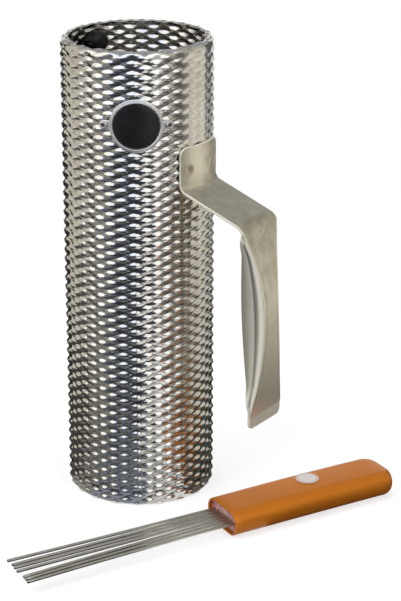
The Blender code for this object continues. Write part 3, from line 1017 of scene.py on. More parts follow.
    def build(self) -> None:
        """Make the tube."""
        finish = EmbossedSheetFinish("bright_sheet")
        values = {
            "Columns": self.columns,
            "Rows": self.rows,
            "Lip Rows": self.lip_rows,
            "Steps Across": self.steps[0],
            "Steps Up": self.steps[1],
            "Phase Across": self.phase[0],
            "Phase Up": self.phase[1],
            "Wall Height": self.height - self.lip_radius,
            "Valley Radius": self.valley_radius,
            "Boss Height": self.boss_height,
            "Sheet Thickness": self.sheet,
            "Softness": self.softness,
            "Lip Radius": self.lip_radius,
            "Lip Turn": self.lip_turn,
            "Lip Wrinkle": self.lip_wrinkle,
            "Lip Relief": self.lip_relief,
            "Seam Angle": self.seam_angle - math.pi / 2,
            "Seam Width": self.seam_width,
            "Seam Lift": self.seam_lift,
            "Seam Relief": self.seam_relief,
            "Seam Foot": self.seam_foot,
            "Axis": tuple(self.axis),
            "Material": finish.material(),
        }
        piece = grow("embossed_tube", values, self.emboss)
        self.hand_over(piece, finish, Slot.BRIGHT_STEEL, Body.GUIRA, "barrel")


# The handle


@dataclass
class StripHandle(Assembly):
    """One steel strip: a flange welded to the tube, a sloping neck, a pressed grip and a short tab."""

    seat_radius: float
    rim_height: float
    angle: float = math.radians(54.2)
    width: float = 0.044
    thickness: float = 0.002
    flange_drop: float = 0.072
    flange_length: float = 0.0335
    flange_corner: float = 0.006
    bend_radius: float = 0.0065
    neck_reach: float = 0.0496
    neck_slope: float = math.radians(19.5)
    grip_length: float = 0.147
    grip_lean: float = math.radians(2.8)
    tab_length: float = 0.009
    tab_width: float = 0.041
    tab_corner: float = 0.005
    grip_peak: float = 0.068
    web_half: float = 0.0071
    web_bow: float = 0.009
    fold_radius: float = 0.005
    fold_least: float = 0.0026
    fold_wall: float = 0.0123
    fold_ease: float = 1.25
    fold_square_at: float = 0.45
    wall_swell: float = 0.0006
    crease_depth: float = 0.00035
    crease_width: float = 0.0012
    columns: int = 112
    bend_steps: int = 8
    flange_rows: int = 44
    neck_rows: int = 12
    grip_rows: int = 90
    tab_rows: int = 6
    edge_round: float = 0.0006
    edge_angle: float = math.radians(60)
    # Spot welds: angle round the tube from the badge, drop from the rim, and the dimple each leaves.
    weld_spots: tuple[Pair, ...] = ((math.radians(40.0), 0.089), (math.radians(67.5), 0.09))
    dimple_depth: float = 0.0006
    dimple_radius: float = 0.0021
    # The raised lip round a dimple: its height as a share of the depth, its place and width in radii.
    dimple_lip: float = 0.25
    dimple_lip_at: float = 1.9
    dimple_lip_width: float = 0.5
    # Painted light: painted shade above zero, a painted highlight below it. The grip's is given at its top
    # and its foot.
    flange_shading: float = 0.3
    flange_shading_across: float = 2.4
    flange_shading_rows: int = 4
    neck_shading: float = 0.6
    grip_shading: Pair = (0.9, -0.3)
    wall_shading: float = -0.8
    wall_shading_across: float = 0.8
    crease_shading: float = 0.7
    crease_share: float = 0.15
    crease_gain: float = 3.0
    tab_shading: float = -0.4
    full_highlight: float = -1.0

    @property
    def flange_radius(self) -> float:
        """Return the radius of the flange's middle."""
        return self.seat_radius + self.thickness / 2

    def weld_points(self) -> tuple[Triple, ...]:
        """Return where the welds show on the flange's face."""
        face = self.flange_radius + self.thickness / 2
        spots = (self.radial(angle, face, self.rim_height - drop) for angle, drop in self.weld_spots)
        return tuple(tuple(spot.translation) for spot in spots)

    def fillet(self, points: list[Vector], steps: int) -> list[Vector]:
        """Round each inner corner of a path.

        Args:
            points: The path's corners.
            steps: How many steps each bend has.

        Returns:
            The rounded path.
        """
        path = [points[0]]
        for before, corner, after in zip(points, points[1:], points[2:]):
            arrive = (corner - before).normalized()
            leave = (after - corner).normalized()
            reach = self.bend_radius * math.tan(arrive.angle(leave) / 2)
            start, end = corner - arrive * reach, corner + leave * reach
            centre = start + (leave - arrive * arrive.dot(leave)).normalized() * self.bend_radius
            for step in range(steps + 1):
                swing = (start - centre).lerp(end - centre, step / steps).normalized()
                path.append(centre + swing * self.bend_radius)
        path.append(points[-1])
        return path

    @staticmethod
    def corner_drop(aside: float, half: float, radius: float) -> float:
        """Return how far a rounded corner cuts the strip's end back at a distance from its middle."""
        inside = min(max(0.0, abs(aside) - (half - radius)), radius)
        return radius - math.sqrt(radius**2 - inside**2)

    def press(self, along: float) -> float:
        """Return how far the grip is formed at a distance from its top corner, from 0 to 1."""
        reach = self.grip_peak if along < self.grip_peak else self.grip_length - self.grip_peak
        return max(0.0, 1 - ((along - self.grip_peak) / reach) ** 2)

    def channel_point(self, share: float, press: float, flat_half: float) -> Triple:
        """Find a point on the grip's cross-section: a web with both sides folded back.

        Args:
            share: Place across the strip, from -1 to 1.
            press: How far the grip is formed there, from 0 to 1.
            flat_half: Half the strip's width there before pressing.

        Returns:
            Its distance to the side, outwards, and its place on the fold: below 0 on the web, above 1 on the
            wall.
        """
        web = flat_half + (self.web_half - flat_half) * press
        radius = max(self.fold_radius * press, self.fold_least)
        square = math.pi / 2 * math.sin(math.pi / 2 * min(1.0, press / self.fold_square_at))
        wall = self.fold_wall * press**self.fold_ease
        reach = abs(share) * (web + radius * square + wall)
        aside = min(reach, web)
        turn = min((reach - aside) / radius, square)
        left = reach - aside - turn * radius
        past = reach - web
        swell = 0.0
        if wall and left > 0:
            swell = self.wall_swell * press * math.sin(math.pi * min(1.0, left / wall))
        for crease in (0.0, radius * square):
            swell -= self.crease_depth * press * math.exp(-(((past - crease) / self.crease_width) ** 2))
        aside += radius * math.sin(turn) + left * math.cos(turn) + swell * math.sin(turn)
        back = radius * (1 - math.cos(turn)) + left * math.sin(turn) - swell * math.cos(turn)
        return math.copysign(aside, share), self.web_bow * press - back, past / max(radius * square, TINY)

    def shading_on_grip(self, fold: float, press: float, share: float) -> float:
        """Find the painted light on the grip: shade at its top giving way to a highlight at its foot, a
        painted highlight on its folds and walls, and painted shade in the creases beside them.

        Args:
            fold: The place on the fold.
            press: How far the grip is formed there, from 0 to 1.
            share: How far down the grip it is, from 0 to 1.

        Returns:
            The wear.
        """
        top, foot = self.grip_shading
        shade_level = top + (foot - top) * share
        if 0 < fold < 1:
            shade_level += (self.full_highlight - shade_level) * math.sin(math.pi * fold)
        elif fold >= 1:
            shade_level = self.wall_shading + self.wall_shading_across * (fold - 1)
        crease = max(math.exp(-(((fold - side) / self.crease_share) ** 2)) for side in (0, 1))
        return shade_level + (self.crease_shading - shade_level) * crease * min(1.0, self.crease_gain * press)

    def dimple(self, aside: float, height: float) -> float:
        """Find how deep the welds press the flange in.

        Args:
            aside: Distance from the flange's middle line.
            height: Height above the table.

        Returns:
            The depth. Round each dimple it is a little below zero.
        """
        here = self.angle + math.asin(aside / self.flange_radius)
        depth = 0.0
        for angle, drop in self.weld_spots:
            away = math.hypot((here - angle) * self.flange_radius, height - (self.rim_height - drop))
            pit = math.exp(-((away / self.dimple_radius) ** 2))
            off = (away / self.dimple_radius - self.dimple_lip_at) / self.dimple_lip_width
            lip = math.exp(-(off**2))
            depth += self.dimple_depth * (pit - self.dimple_lip * lip)
        return depth

    def column(self, share: float) -> tuple[list[tuple[float, Vector]], list[float]]:
        """Lay one line of points down the strip.

        Args:
            share: Place across the strip, from -1 to 1.

        Returns:
            (aside, (out, up)) for each point, and each point's painted shading.
        """
        half, tab_half = self.width / 2, self.tab_width / 2
        aside = share * half
        flange_top = self.rim_height - self.flange_drop
        bend = flange_top - self.flange_length
        slope = math.tan(self.neck_slope)
        down = Vector((math.sin(self.grip_lean), -math.cos(self.grip_lean)))
        grip = Vector((self.flange_radius + self.neck_reach, bend - self.neck_reach * slope))

        # The flange, dimpled by its welds, and the neck.
        seat = math.sqrt(self.flange_radius**2 - aside**2)
        meet = bend + (self.flange_radius - seat) * slope
        crest = flange_top - self.corner_drop(aside, half, self.flange_corner)
        stops = [Vector((seat, crest)), Vector((seat, meet)), grip, grip + down * self.bend_radius]
        path = self.fillet(stops, self.bend_steps)
        line: list[tuple[float, Vector]] = []
        for row in range(self.flange_rows):
            point = path[0].lerp(path[1], row / self.flange_rows)
            pit = self.dimple(aside, point.y)
            away = Vector((aside, point.x)).normalized()
            line.append((aside - pit * away.x, point - Vector((pit * away.y, 0.0))))
        neck_start = self.bend_steps + 1
        line.extend((aside, point) for point in path[1:neck_start])
        for row in range(self.neck_rows):
            line.append((aside, path[neck_start].lerp(path[neck_start + 1], row / self.neck_rows)))
        # Painted shade: across the flange it grows towards one side, and the neck is shaded evenly.
        painted_shade = min(1.0, max(0.0, self.flange_shading_across * share + self.flange_shading))
        wear = [painted_shade] * (self.flange_rows + self.flange_shading_rows)
        wear += [self.neck_shading] * (len(line) - len(wear))

        # The grip and the tab.
        spots = path[neck_start + 1 : -1]
        rest = self.grip_length - self.bend_radius
        spots += [path[-1] + down * rest * row / self.grip_rows for row in range(self.grip_rows)]
        for spot in spots:
            along = (spot - grip).dot(down)
            flat_half = half + (tab_half - half) * max(0.0, along) / self.grip_length
            press = self.press(along)
            across, out, fold = self.channel_point(share, press, flat_half)
            line.append((across, spot + Vector((-down.y, down.x)) * out))
            wear.append(self.shading_on_grip(fold, press, along / self.grip_length))
        # The tab gets a painted highlight.
        crease = grip + down * self.grip_length
        tab = self.tab_length - self.corner_drop(share * tab_half, tab_half, self.tab_corner)
        for row in range(self.tab_rows + 1):
            line.append((share * tab_half, crease + Vector((0.0, -tab * row / self.tab_rows))))
            wear.append(self.tab_shading)

        # The sheared edges get a painted highlight.
        if abs(share) == 1.0:
            return line, [self.full_highlight] * len(wear)
        return line, [self.full_highlight, *wear[1:-1], self.full_highlight]

    def build(self) -> None:
        """Make the strip, thicken it and break its edges."""
        frame = Matrix.Translation(self.axis) @ Matrix.Rotation(self.angle, 4, "Z")
        points: list[Vector] = []
        wear: list[float] = []
        for index in range(self.columns + 1):
            line, shade_level = self.column(2 * index / self.columns - 1)
            points.extend(frame @ Vector((aside, -spot.x, spot.y)) for aside, spot in line)
            wear.extend(shade_level)
        rows = len(points) // (self.columns + 1)
        faces: Faces = []
        for index in range(self.columns):
            left, right = index * rows, (index + 1) * rows
            for row in range(rows - 1):
                faces.append((left + row + 1, right + row + 1, right + row, left + row))
        mesh = plain_mesh("strip_handle", points, faces)
        mesh.attributes.new("wear", "FLOAT", "POINT").data.foreach_set("value", wear)
        mesh.shade_smooth()
        piece = link("strip_handle", mesh)
        solid = piece.modifiers.new("sheet", "SOLIDIFY")
        solid.thickness = self.thickness
        solid.offset = 0.0
        solid.use_even_offset = True
        edges = piece.modifiers.new("edges", "BEVEL")
        edges.width = self.edge_round
        edges.segments = 2
        edges.limit_method = "ANGLE"
        edges.angle_limit = self.edge_angle
        settle(piece)
        finish = StripFinish("satin_strip", self.weld_points(), self.angle)
        self.hand_over(piece, finish, Slot.SATIN_STEEL, Body.GUIRA, "handle_bracket")


# The badge


@dataclass
class Badge(Assembly):
    """A round plate bent to the tube, with a bead, a black field and two hollow rivets. The field is bare."""

    seat_radius: float
    valley_radius: float
    sheet: float
    rim_height: float
    drop: float = 0.053
    bead_radius: float = 0.0182
    bead_width: float = 0.0013
    bead_height: float = 0.0012
    bead_steps: int = 10
    bead_power: float = 0.7
    margin: float = 0.0015
    thickness: float = 0.001
    edge_round: float = 0.0002
    field_depth: float = 0.0005
    enamel: float = 0.0006
    enamel_crown: float = 0.0002
    ear_radius: float = 0.0036
    ear_overhang: float = 0.0040
    rivet_radius: float = 0.0016
    rivet_wall: float = 0.0004
    rivet_head_radius: float = 0.003
    rivet_head_height: float = 0.0011
    # The head's flat top, as a share of its radius.
    rivet_lip: float = 0.62
    rivet_tail_radius: float = 0.0024
    rivet_tail_length: float = 0.003
    # How deep the broken pin sits in the hollow head.
    rivet_stub: float = 0.0042
    # The bore's flared mouth: how far it widens, and where the flare starts and ends below the top.
    bore_flare: float = 0.0003
    bore_edge: Pair = (0.0001, 0.0005)
    rivet_head_steps: int = 6
    rivet_turns: int = 28
    turns: int = 180

    @property
    def height(self) -> float:
        """Return the height of the badge's middle."""
        return self.rim_height - self.drop

    @property
    def plate_radius(self) -> float:
        """Return the plate's radius without its ears."""
        return self.bead_radius + self.margin

    @property
    def rivet_spread(self) -> float:
        """Return how far each rivet is from the badge's middle, round the tube."""
        return self.plate_radius + self.ear_overhang

    def wrap(self, flat_x: float, flat_y: float, rise: float) -> Vector:
        """Return where a point of the flat badge lies once it is bent round the tube."""
        angle, radius = flat_x / self.seat_radius, self.seat_radius + rise
        return self.axis + Vector((radius * math.sin(angle), -radius * math.cos(angle), self.height + flat_y))

    def outline(self, turn: float, inset: float = 0.0) -> float:
        """Find the plate's edge: a circle with an ear blended into each side.

        Args:
            turn: The direction from the badge's middle.
            inset: How far inside the edge.

        Returns:
            The distance from the middle.
        """
        plate, ear = self.plate_radius - inset, self.ear_radius - inset
        reach = ear**2 - (self.rivet_spread * math.sin(turn)) ** 2
        if reach < 0:
            return plate
        return max(plate, self.rivet_spread * abs(math.cos(turn)) + math.sqrt(reach))

    def disc(self, name: str, rings: Sequence[tuple[Callable[[float], float], float]]) -> Piece:
        """Make a closed disc from rings of (outline, rise), front to back.

        Args:
            name: The piece's name.
            rings: An outline and a rise for each ring. The first and last are filled to the middle.

        Returns:
            The piece.
        """
        turns = [math.tau * step / self.turns for step in range(self.turns)]
        loops = []
        for edge, rise in rings:
            loops.append([self.wrap(edge(t) * math.cos(t), edge(t) * math.sin(t), rise) for t in turns])
        points, faces = loft(loops, close_ends=False)
        for start, rise in ((0, rings[0][1]), (len(points) - self.turns, rings[-1][1])):
            points.append(self.wrap(0.0, 0.0, rise))
            middle = len(points) - 1
            for step in range(self.turns):
                faces.append((start + step, start + (step + 1) % self.turns, middle))
        return make_piece(name, points, faces, sharp=50.0)

    @staticmethod
    def circle(radius: float) -> Callable[[float], float]:
        """Return a plain round outline."""
        return lambda turn: radius

    @staticmethod
    def pair_up(board: Board, given: Sockets) -> Socket:
        """Set a rivet at each side of the badge.

        Args:
            board: The tree's board.
            given: The tree's inputs.

        Returns:
            The rivets.
        """
        spots = board.put("GeometryNodePoints", {"Count": given["Count"]})
        side = board.times_plus(board.put("GeometryNodeInputIndex"), 2.0, -1.0)
        turn = board.vector(0.0, 0.0, board.times(side, given["Half Angle"]))
        laid = {"Points": spots, "Instance": given["Geometry"], "Rotation": turn}
        rivets = board.put("GeometryNodeInstanceOnPoints", laid)
        return board.put("GeometryNodeTransform", {"Geometry": rivets, "Translation": given["Axis"]})

    def rivet_profile(self, tail: float, head: float, bore: float) -> list[Pair]:
        """Draw half of a hollow rivet: swollen tail, shank, domed head and the bore down to its broken pin.

        Args:
            tail: Where the tail bears on the sheet, along the rivet.
            head: Where the head bears on the plate.
            bore: The bore's radius.

        Returns:
            (radius, height) pairs.
        """
        end, top = tail - self.rivet_tail_length, head + self.rivet_head_height
        lip = self.rivet_head_radius * self.rivet_lip
        profile = [(0.0, end), (self.rivet_radius, end)]
        for share in (0.25, 0.5, 0.75):
            bulge = (self.rivet_tail_radius - self.rivet_radius) * math.sin(math.pi * share)
            profile.append((self.rivet_radius + bulge, tail - self.rivet_tail_length * (1 - share)))
        profile += [(self.rivet_radius, tail), (self.rivet_radius, head), (self.rivet_head_radius, head)]
        for step in range(1, self.rivet_head_steps + 1):
            turn = math.pi / 2 * step / self.rivet_head_steps
            rim = lip + (self.rivet_head_radius - lip) * math.cos(turn)
            profile.append((rim, head + self.rivet_head_height * math.sin(turn)))
        stub, (start, stop) = top - self.rivet_stub, self.bore_edge
        profile += [(bore + self.bore_flare, top - start), (bore, top - stop)]
        return profile + [(bore, stub), (0.0, stub)]

    def build_rivets(self) -> None:
        """Make the pair of hollow rivets, with painted shade in their bores."""
        head = self.seat_radius + self.thickness + GAP - self.valley_radius
        tail = -self.sheet - GAP - self.rivet_tail_radius**2 / self.valley_radius
        bore = self.rivet_radius - self.rivet_wall
        tip = Matrix.Rotation(math.pi / 2, 4, "X")
        upright = Matrix.Translation((0.0, -self.valley_radius, self.height)) @ tip
        profile = self.rivet_profile(tail, head, bore)
        one = make_piece("rivet_pattern", *lathe(profile, self.rivet_turns, upright), sharp=45.0)
        spots = [upright.inverted() @ point.co for point in one.data.vertices]
        # Painted shade: every point inside the bore is marked to be painted dark.
        dark = [float(spot.to_2d().length < bore + TOUCH and spot.z > tail) for spot in spots]
        one.data.attributes.new("soot", "FLOAT", "POINT").data.foreach_set("value", dark)
        finish = MetalFinish("rivet_aluminium", (0.74, 0.74, 0.73), (0.58, 0.57, 0.55), 0.3, 0.45, shaded_bores=True)
        values = {
            "Geometry": None,
            "Count": 2,
            "Half Angle": self.rivet_spread / self.seat_radius,
            "Axis": tuple(self.axis),
            "Material": finish.material(),
        }
        piece = grow("badge_rivets", values, self.pair_up, one.data.copy())
        bpy.data.objects.remove(one)
        self.hand_over(piece, finish, Slot.ALUMINIUM, Body.GUIRA, "badge_rivet_left", "badge_rivet_right")

    def build_plate(self, field_radius: float, floor: float) -> None:
        """Make the plate with its bead and ears.

        Args:
            field_radius: The radius of the sunk field.
            floor: The field's height above the badge's seat.
        """
        rings = [(self.circle(field_radius * share), floor) for share in (0.5, 1.0)]
        for step in range(1, self.bead_steps):
            turn = math.pi * step / self.bead_steps
            radius = field_radius + self.bead_width * (1 - math.cos(turn)) / 2
            rise = self.bead_height * math.sin(turn) ** self.bead_power
            rings.append((self.circle(radius), self.thickness + rise))
        rings.append((self.circle(self.bead_radius), self.thickness))
        rings.append((lambda turn: self.outline(turn, self.edge_round), self.thickness))
        rings.append((self.outline, self.thickness - self.edge_round))
        rings.append((self.outline, 0.0))
        rings += [(self.circle(field_radius * share), 0.0) for share in (1.0, 0.5)]
        plate = self.disc("badge_rim_plate", rings)
        plated = MetalFinish("plated_badge", (0.93, 0.93, 0.95), (0.80, 0.80, 0.81), 0.38, 0.52, relief=0.06)
        self.hand_over(plate, plated, Slot.PLATED, Body.GUIRA, "badge_plate")

    def build_field(self, edge: float, back: float) -> None:
        """Make the black field, slightly crowned.

        Args:
            edge: The field's radius.
            back: The height of its back above the badge's seat.
        """
        face = back + self.enamel
        rings = []
        for share in (0.25, 0.5, 0.75, 0.93):
            rings.append((self.circle(edge * share), face + self.enamel_crown * (1 - share**2)))
        rings += [(self.circle(edge), face - self.edge_round), (self.circle(edge), back)]
        rings.append((self.circle(edge / 2), back))
        piece = self.disc("badge_black_field", rings)
        self.hand_over(piece, EnamelFinish("black_enamel"), Slot.ENAMEL, Body.GUIRA, "badge_enamel")

    def build(self) -> None:
        """Make the plate, the black field and the rivets."""
        field_radius = self.bead_radius - self.bead_width
        floor = self.thickness - self.field_depth
        self.build_plate(field_radius, floor)
        self.build_field(field_radius - GAP, floor + GAP)
        self.build_rivets()


# The rubber buffer inside the rim


@dataclass
class Buffer(Assembly):
    """A black rubber buffer inside the wall, held by a screw and washer from outside."""

    bore_radius: float
    seat_radius: float
    rim_height: float
    columns: int
    angle: float = math.radians(-141.5)
    drop: float = 0.0135
    radius: float = 0.0075
    nose: float = 0.004
    rounding: float = 0.0045
    rounding_steps: int = 10
    foot_round: float = 0.0004
    turns: int = 48
    insert_radius: float = 0.0034
    insert_length: float = 0.007
    screw_radius: float = 0.002
    screw_short: float = 0.0015
    head_radius: float = 0.0036
    head_height: float = 0.0024
    # The head's straight side and flat top, as shares of its height and radius.
    head_side: float = 0.45
    head_flat: float = 0.45
    # The cross recess, as shares of the head's radius and height.
    cross_long: float = 0.62
    cross_slim: float = 0.14
    cross_deep: float = 0.45
    cross_taper: Pair = (0.55, 1.3)
    dome_steps: int = 7
    screw_turns: int = 40
    washer_radius: float = 0.005
    washer_thickness: float = 0.001
    washer_round: float = 0.0002
    plated: Finish = MetalFinish("plated_screw", (0.78, 0.78, 0.80), (0.58, 0.56, 0.52), 0.16, 0.34)
    brass: Finish = MetalFinish("turned_brass", (0.70, 0.50, 0.21), (0.48, 0.33, 0.13), 0.24, 0.42)

    @property
    def place(self) -> Matrix:
        """Return the buffer's frame."""
        return self.radial(self.angle, 0.0, self.rim_height - self.drop)

    @property
    def base(self) -> float:
        """Return where the buffer's foot is, along the frame."""
        return math.sqrt(self.bore_radius**2 - self.radius**2) * math.cos(math.pi / self.columns) - GAP

    def build(self) -> None:
        """Make the buffer, the washer and the screw, and dress the insert."""
        self.build_rubber()
        self.build_washer()
        self.build_screw()
        insert = bpy.data.objects["buffer_insert"]
        insert.data.materials.clear()
        insert.data.materials.append(self.brass.material())

    def build_rubber(self) -> None:
        """Make the rubber, with a pocket for the insert."""
        base = self.base
        tip = base - self.insert_length - self.nose
        pocket, pocket_end = self.insert_radius + GAP, base - self.insert_length - 2 * GAP
        profile = [(0.0, pocket_end), (pocket, pocket_end), (pocket, base)]
        profile += [(self.radius - self.foot_round, base), (self.radius, base - self.foot_round)]
        for step in range(self.rounding_steps + 1):
            turn = math.pi / 2 * step / self.rounding_steps
            rim = self.radius - self.rounding * (1 - math.cos(turn))
            profile.append((rim, tip + self.rounding * (1 - math.sin(turn))))
        profile.append((0.0, tip))
        rubber = make_piece("rubber_buffer", *lathe(profile, self.turns, self.place))
        self.hand_over(rubber, RubberFinish("black_rubber"), Slot.RUBBER, Body.GUIRA, "rim_buffer")

    def build_washer(self) -> None:
        """Make the washer, which sits on the bosses."""
        bore, soft = self.screw_radius + GAP, self.washer_round
        low, high = self.seat_radius, self.seat_radius + self.washer_thickness
        profile = [(bore, high - soft), (bore, low)]
        profile += [(self.washer_radius, low), (self.washer_radius, high - soft)]
        profile += [(self.washer_radius - soft, high), (bore + soft, high)]
        points, faces = lathe(profile, self.screw_turns, self.place, ring=True)
        washer = make_piece("screw_washer", points, faces, sharp=50.0)
        self.hand_over(washer, self.plated, Slot.PLATED, Body.GUIRA, "buffer_washer")

    def build_screw(self) -> None:
        """Make the pan-head screw with its cross recess."""
        place = self.place
        seat = self.seat_radius + self.washer_thickness + GAP
        end = self.base - (self.insert_length - self.screw_short)
        top = seat + self.head_height
        profile = [(0.0, end), (self.screw_radius, end), (self.screw_radius, seat), (self.head_radius, seat)]
        side = seat + self.head_height * self.head_side
        for step in range(self.dome_steps):
            turn = math.pi / 2 * step / self.dome_steps
            rim = self.head_radius * (self.head_flat + (1 - self.head_flat) * math.cos(turn))
            profile.append((rim, side + (top - side) * math.sin(turn)))
        profile.append((0.0, top))
        screw = make_piece("buffer_cross_screw", *lathe(profile, self.screw_turns, place), sharp=45.0)
        long, slim = self.head_radius * self.cross_long, self.head_radius * self.cross_slim
        deep = self.head_height * self.cross_deep
        plus = [(long, -slim), (long, slim), (slim, slim), (slim, long), (-slim, long), (-slim, slim)]
        plus += [(-x, -y) for x, y in plus]
        loops = []
        for height, scale in zip((top - deep, top + deep), self.cross_taper):
            loops.append([place @ Vector((x * scale, y * scale, height)) for x, y in plus])
        cutter = make_piece("cross_cutter", *loft(loops))
        boolean = screw.modifiers.new("recess", "BOOLEAN")
        boolean.operation = "DIFFERENCE"
        boolean.object = cutter
        settle(screw)
        bpy.data.objects.remove(cutter)
        self.hand_over(screw, self.plated, Slot.PLATED, Body.GUIRA, "buffer_screw")


# The scraper


@dataclass
class Scraper(Assembly):
    """An oblong lacquered grip with a socket, a resin plug, a row of wires and a round label."""

    place: Triple = (0.062, -0.0947, 0.0)
    turn: float = math.radians(29.1)
    width: float = 0.0423
    depth: float = 0.0197
    swell: float = 0.0008
    length: float = 0.146
    end_round: float = 0.011
    end_steps: int = 14
    # How much of the end's rounding also takes from the depth.
    end_flatten: float = 0.7
    side_steps: int = 24
    socket_wall: float = 0.0017
    socket_depth: float = 0.042
    lip_round: float = 0.0005
    resin_recess: float = 0.0035
    resin_rings: int = 14
    # How far the resin creeps up a thing, and how soon that dies away: wires, then the socket's wall.
    wire_creep: Pair = (0.0011, 0.0009)
    wall_creep: Pair = (0.0008, 0.001)
    # Ripples of the resin's face: height, and waves across, upwards and aslant.
    resin_ripple: float = 0.00025
    resin_waves: Triple = (1900.0, 1500.0, 700.0)
    resin_steps: int = 40
    resin_least: float = 0.02
    wire_pitch: float = 0.0046
    wire_radius: float = 0.0012
    wire_reach: float = 0.168
    wire_cover: float = 0.008
    wire_steps: int = 28
    wire_sides: int = 16
    wire_tip: float = 0.0003
    wire_tip_share: float = 0.72
    splay: tuple[float, ...] = (0.0030, -0.0004, 0.0004, 0.0005, -0.0060, -0.0048, -0.0034)
    splay_power: float = 1.6
    lift: tuple[float, ...] = (0.0, 0.0006, 0.0, -0.0006, 0.0004, 0.0002, -0.0004)
    label_radius: float = 0.009
    label_thickness: float = 0.0003
    label_along: float = 0.0785
    label_aside: float = 0.0045
    label_turns: int = 64
    frame: Matrix = field(init=False)

    def __post_init__(self) -> None:
        """Set the frame that the scraper lies in: X along it, away from the wires."""
        self.frame = Matrix.Translation(self.axis + Vector(self.place)) @ Matrix.Rotation(self.turn, 4, "Z")

    @property
    def middle(self) -> float:
        """Return the height of the wires."""
        return self.depth / 2

    def depth_at(self, along: float) -> float:
        """Return the grip's depth, which swells a little towards its middle."""
        return self.depth + self.swell * math.sin(math.pi * along / self.length)

    def oblong(
        self, along: float, width: float, depth: float, middle: float, steps: int = 20
    ) -> list[Vector]:
        """Draw a loop with a straight top and bottom and half-round sides, square to the grip.

        Args:
            along: Its place along the grip.
            width: Its width.
            depth: Its depth.
            middle: The height of its middle.
            steps: How many steps each side has.

        Returns:
            The loop's points.
        """
        radius = depth / 2
        points = []
        for side, start in ((1, -math.pi / 2), (-1, math.pi / 2)):
            for step in range(steps + 1):
                turn = start + math.pi * step / steps
                across = side * (width / 2 - radius) + radius * math.cos(turn)
                points.append(self.frame @ Vector((along, across, middle + radius * math.sin(turn))))
        return points

    def wire_rows(self) -> list[tuple[int, float]]:
        """Return each wire's number and its distance from the middle of the row."""
        count = len(self.splay)
        return [(index, ((count - 1) / 2 - index) * self.wire_pitch) for index in range(count)]

    def build_grip(self) -> None:
        """Make the grip: socket floor, socket, rounded lip, outside and rounded rear end in one skin."""
        wall, lip = self.socket_wall, self.lip_round
        near = 0.3 * lip
        mouth = [(wall, self.socket_depth), (wall, lip), (wall - near, near), (wall - lip, 0.0)]
        mouth += [(lip, 0.0), (near, near)]
        loops = []
        for inset, along in mouth:
            loops.append(self.oblong(along, self.width - 2 * inset, self.depth - 2 * inset, self.middle))
        straight = self.length - self.end_round
        for step in range(self.side_steps + 1):
            along = lip + (straight - lip) * step / self.side_steps
            depth = self.depth_at(along)
            loops.append(self.oblong(along, self.width, depth, depth / 2))
        for step in range(1, self.end_steps + 1):
            turn = math.pi / 2 * step / self.end_steps
            along = straight + self.end_round * math.sin(turn)
            trim = self.end_round * (1 - math.cos(turn))
            depth = self.depth_at(along) - trim * self.end_flatten
            loops.append(self.oblong(along, self.width - 2 * trim, depth, self.middle))
        grip = make_piece("lacquered_grip", *loft(loops), sharp=55.0)
        finish = LacquerFinish("orange_lacquer", self.turn)
        self.hand_over(grip, finish, Slot.ORANGE, Body.SCRAPER, "scraper_handle")

    def creep(self, across: float, up: float, edge: float) -> float:
        """Find how far the resin's face stands proud.

        Args:
            across: Place across the plug.
            up: Height above the table.
            edge: Distance from the socket's wall.

        Returns:
            The height of the creep and the ripples there.
        """
        nearest = min(math.hypot(across - wire, up - self.middle) for _, wire in self.wire_rows())
        rise = self.wire_creep[0] * math.exp(-max(0.0, nearest - self.wire_radius) / self.wire_creep[1])
        rise += self.wall_creep[0] * math.exp(-edge / self.wall_creep[1])
        wide, high, aslant = self.resin_waves
        return rise + self.resin_ripple * math.sin(across * wide) * math.sin(up * high + across * aslant)

    def build_resin(self) -> None:
        """Make the resin plug, which creeps up the wires and the socket's wall."""
        inset = self.socket_wall + GAP
        width, depth = self.width - 2 * inset, self.depth - 2 * inset
        loops = [self.oblong(self.socket_depth - GAP, width, depth, self.middle, self.resin_steps)]
        unturned = self.frame.inverted()
        for step in range(self.resin_rings):
            share = 1.0 - step / self.resin_rings
            shrunk = width - (1 - share) * depth
            loop = []
            tall = depth * max(share, self.resin_least)
            for point in self.oblong(0.0, shrunk, tall, self.middle, self.resin_steps):
                local = unturned @ point
                local.x = self.resin_recess - self.creep(local.y, local.z, (1 - share) * depth / 2)
                loop.append(self.frame @ local)
            loops.append(loop)
        plug = make_piece("resin_plug_face", *loft(loops), sharp=60.0)
        self.hand_over(plug, ResinFinish("casting_resin"), Slot.RESIN, Body.SCRAPER, "resin_plug")

    @staticmethod
    def draw_wires(board: Board, given: Sockets) -> Socket:
        """Draw a round wire along each line of a mesh.

        Args:
            board: The tree's board.
            given: The tree's inputs.

        Returns:
            The wires.
        """
        lines = board.put("GeometryNodeMeshToCurve", {"Mesh": given["Geometry"]})
        ends = board.put("GeometryNodeCurveEndpointSelection", {"Start Size": 1, "End Size": 1})
        lines = board.put("GeometryNodeSetCurveRadius", {"Curve": lines, "Radius": 1.0})
        tipped = {"Curve": lines, "Selection": ends, "Radius": given["Tip"]}
        lines = board.put("GeometryNodeSetCurveRadius", tipped)
        ring = {"Resolution": given["Sides"], "Radius": given["Radius"]}
        drawn = {
            "Curve": lines,
            "Profile Curve": board.put("GeometryNodeCurvePrimitiveCircle", ring),
            "Scale": board.put("GeometryNodeInputRadius"),
            "Fill Caps": True,
        }
        wires = board.put("GeometryNodeCurveToMesh", drawn)
        return board.put("GeometryNodeSetShadeSmooth", {"Geometry": wires})

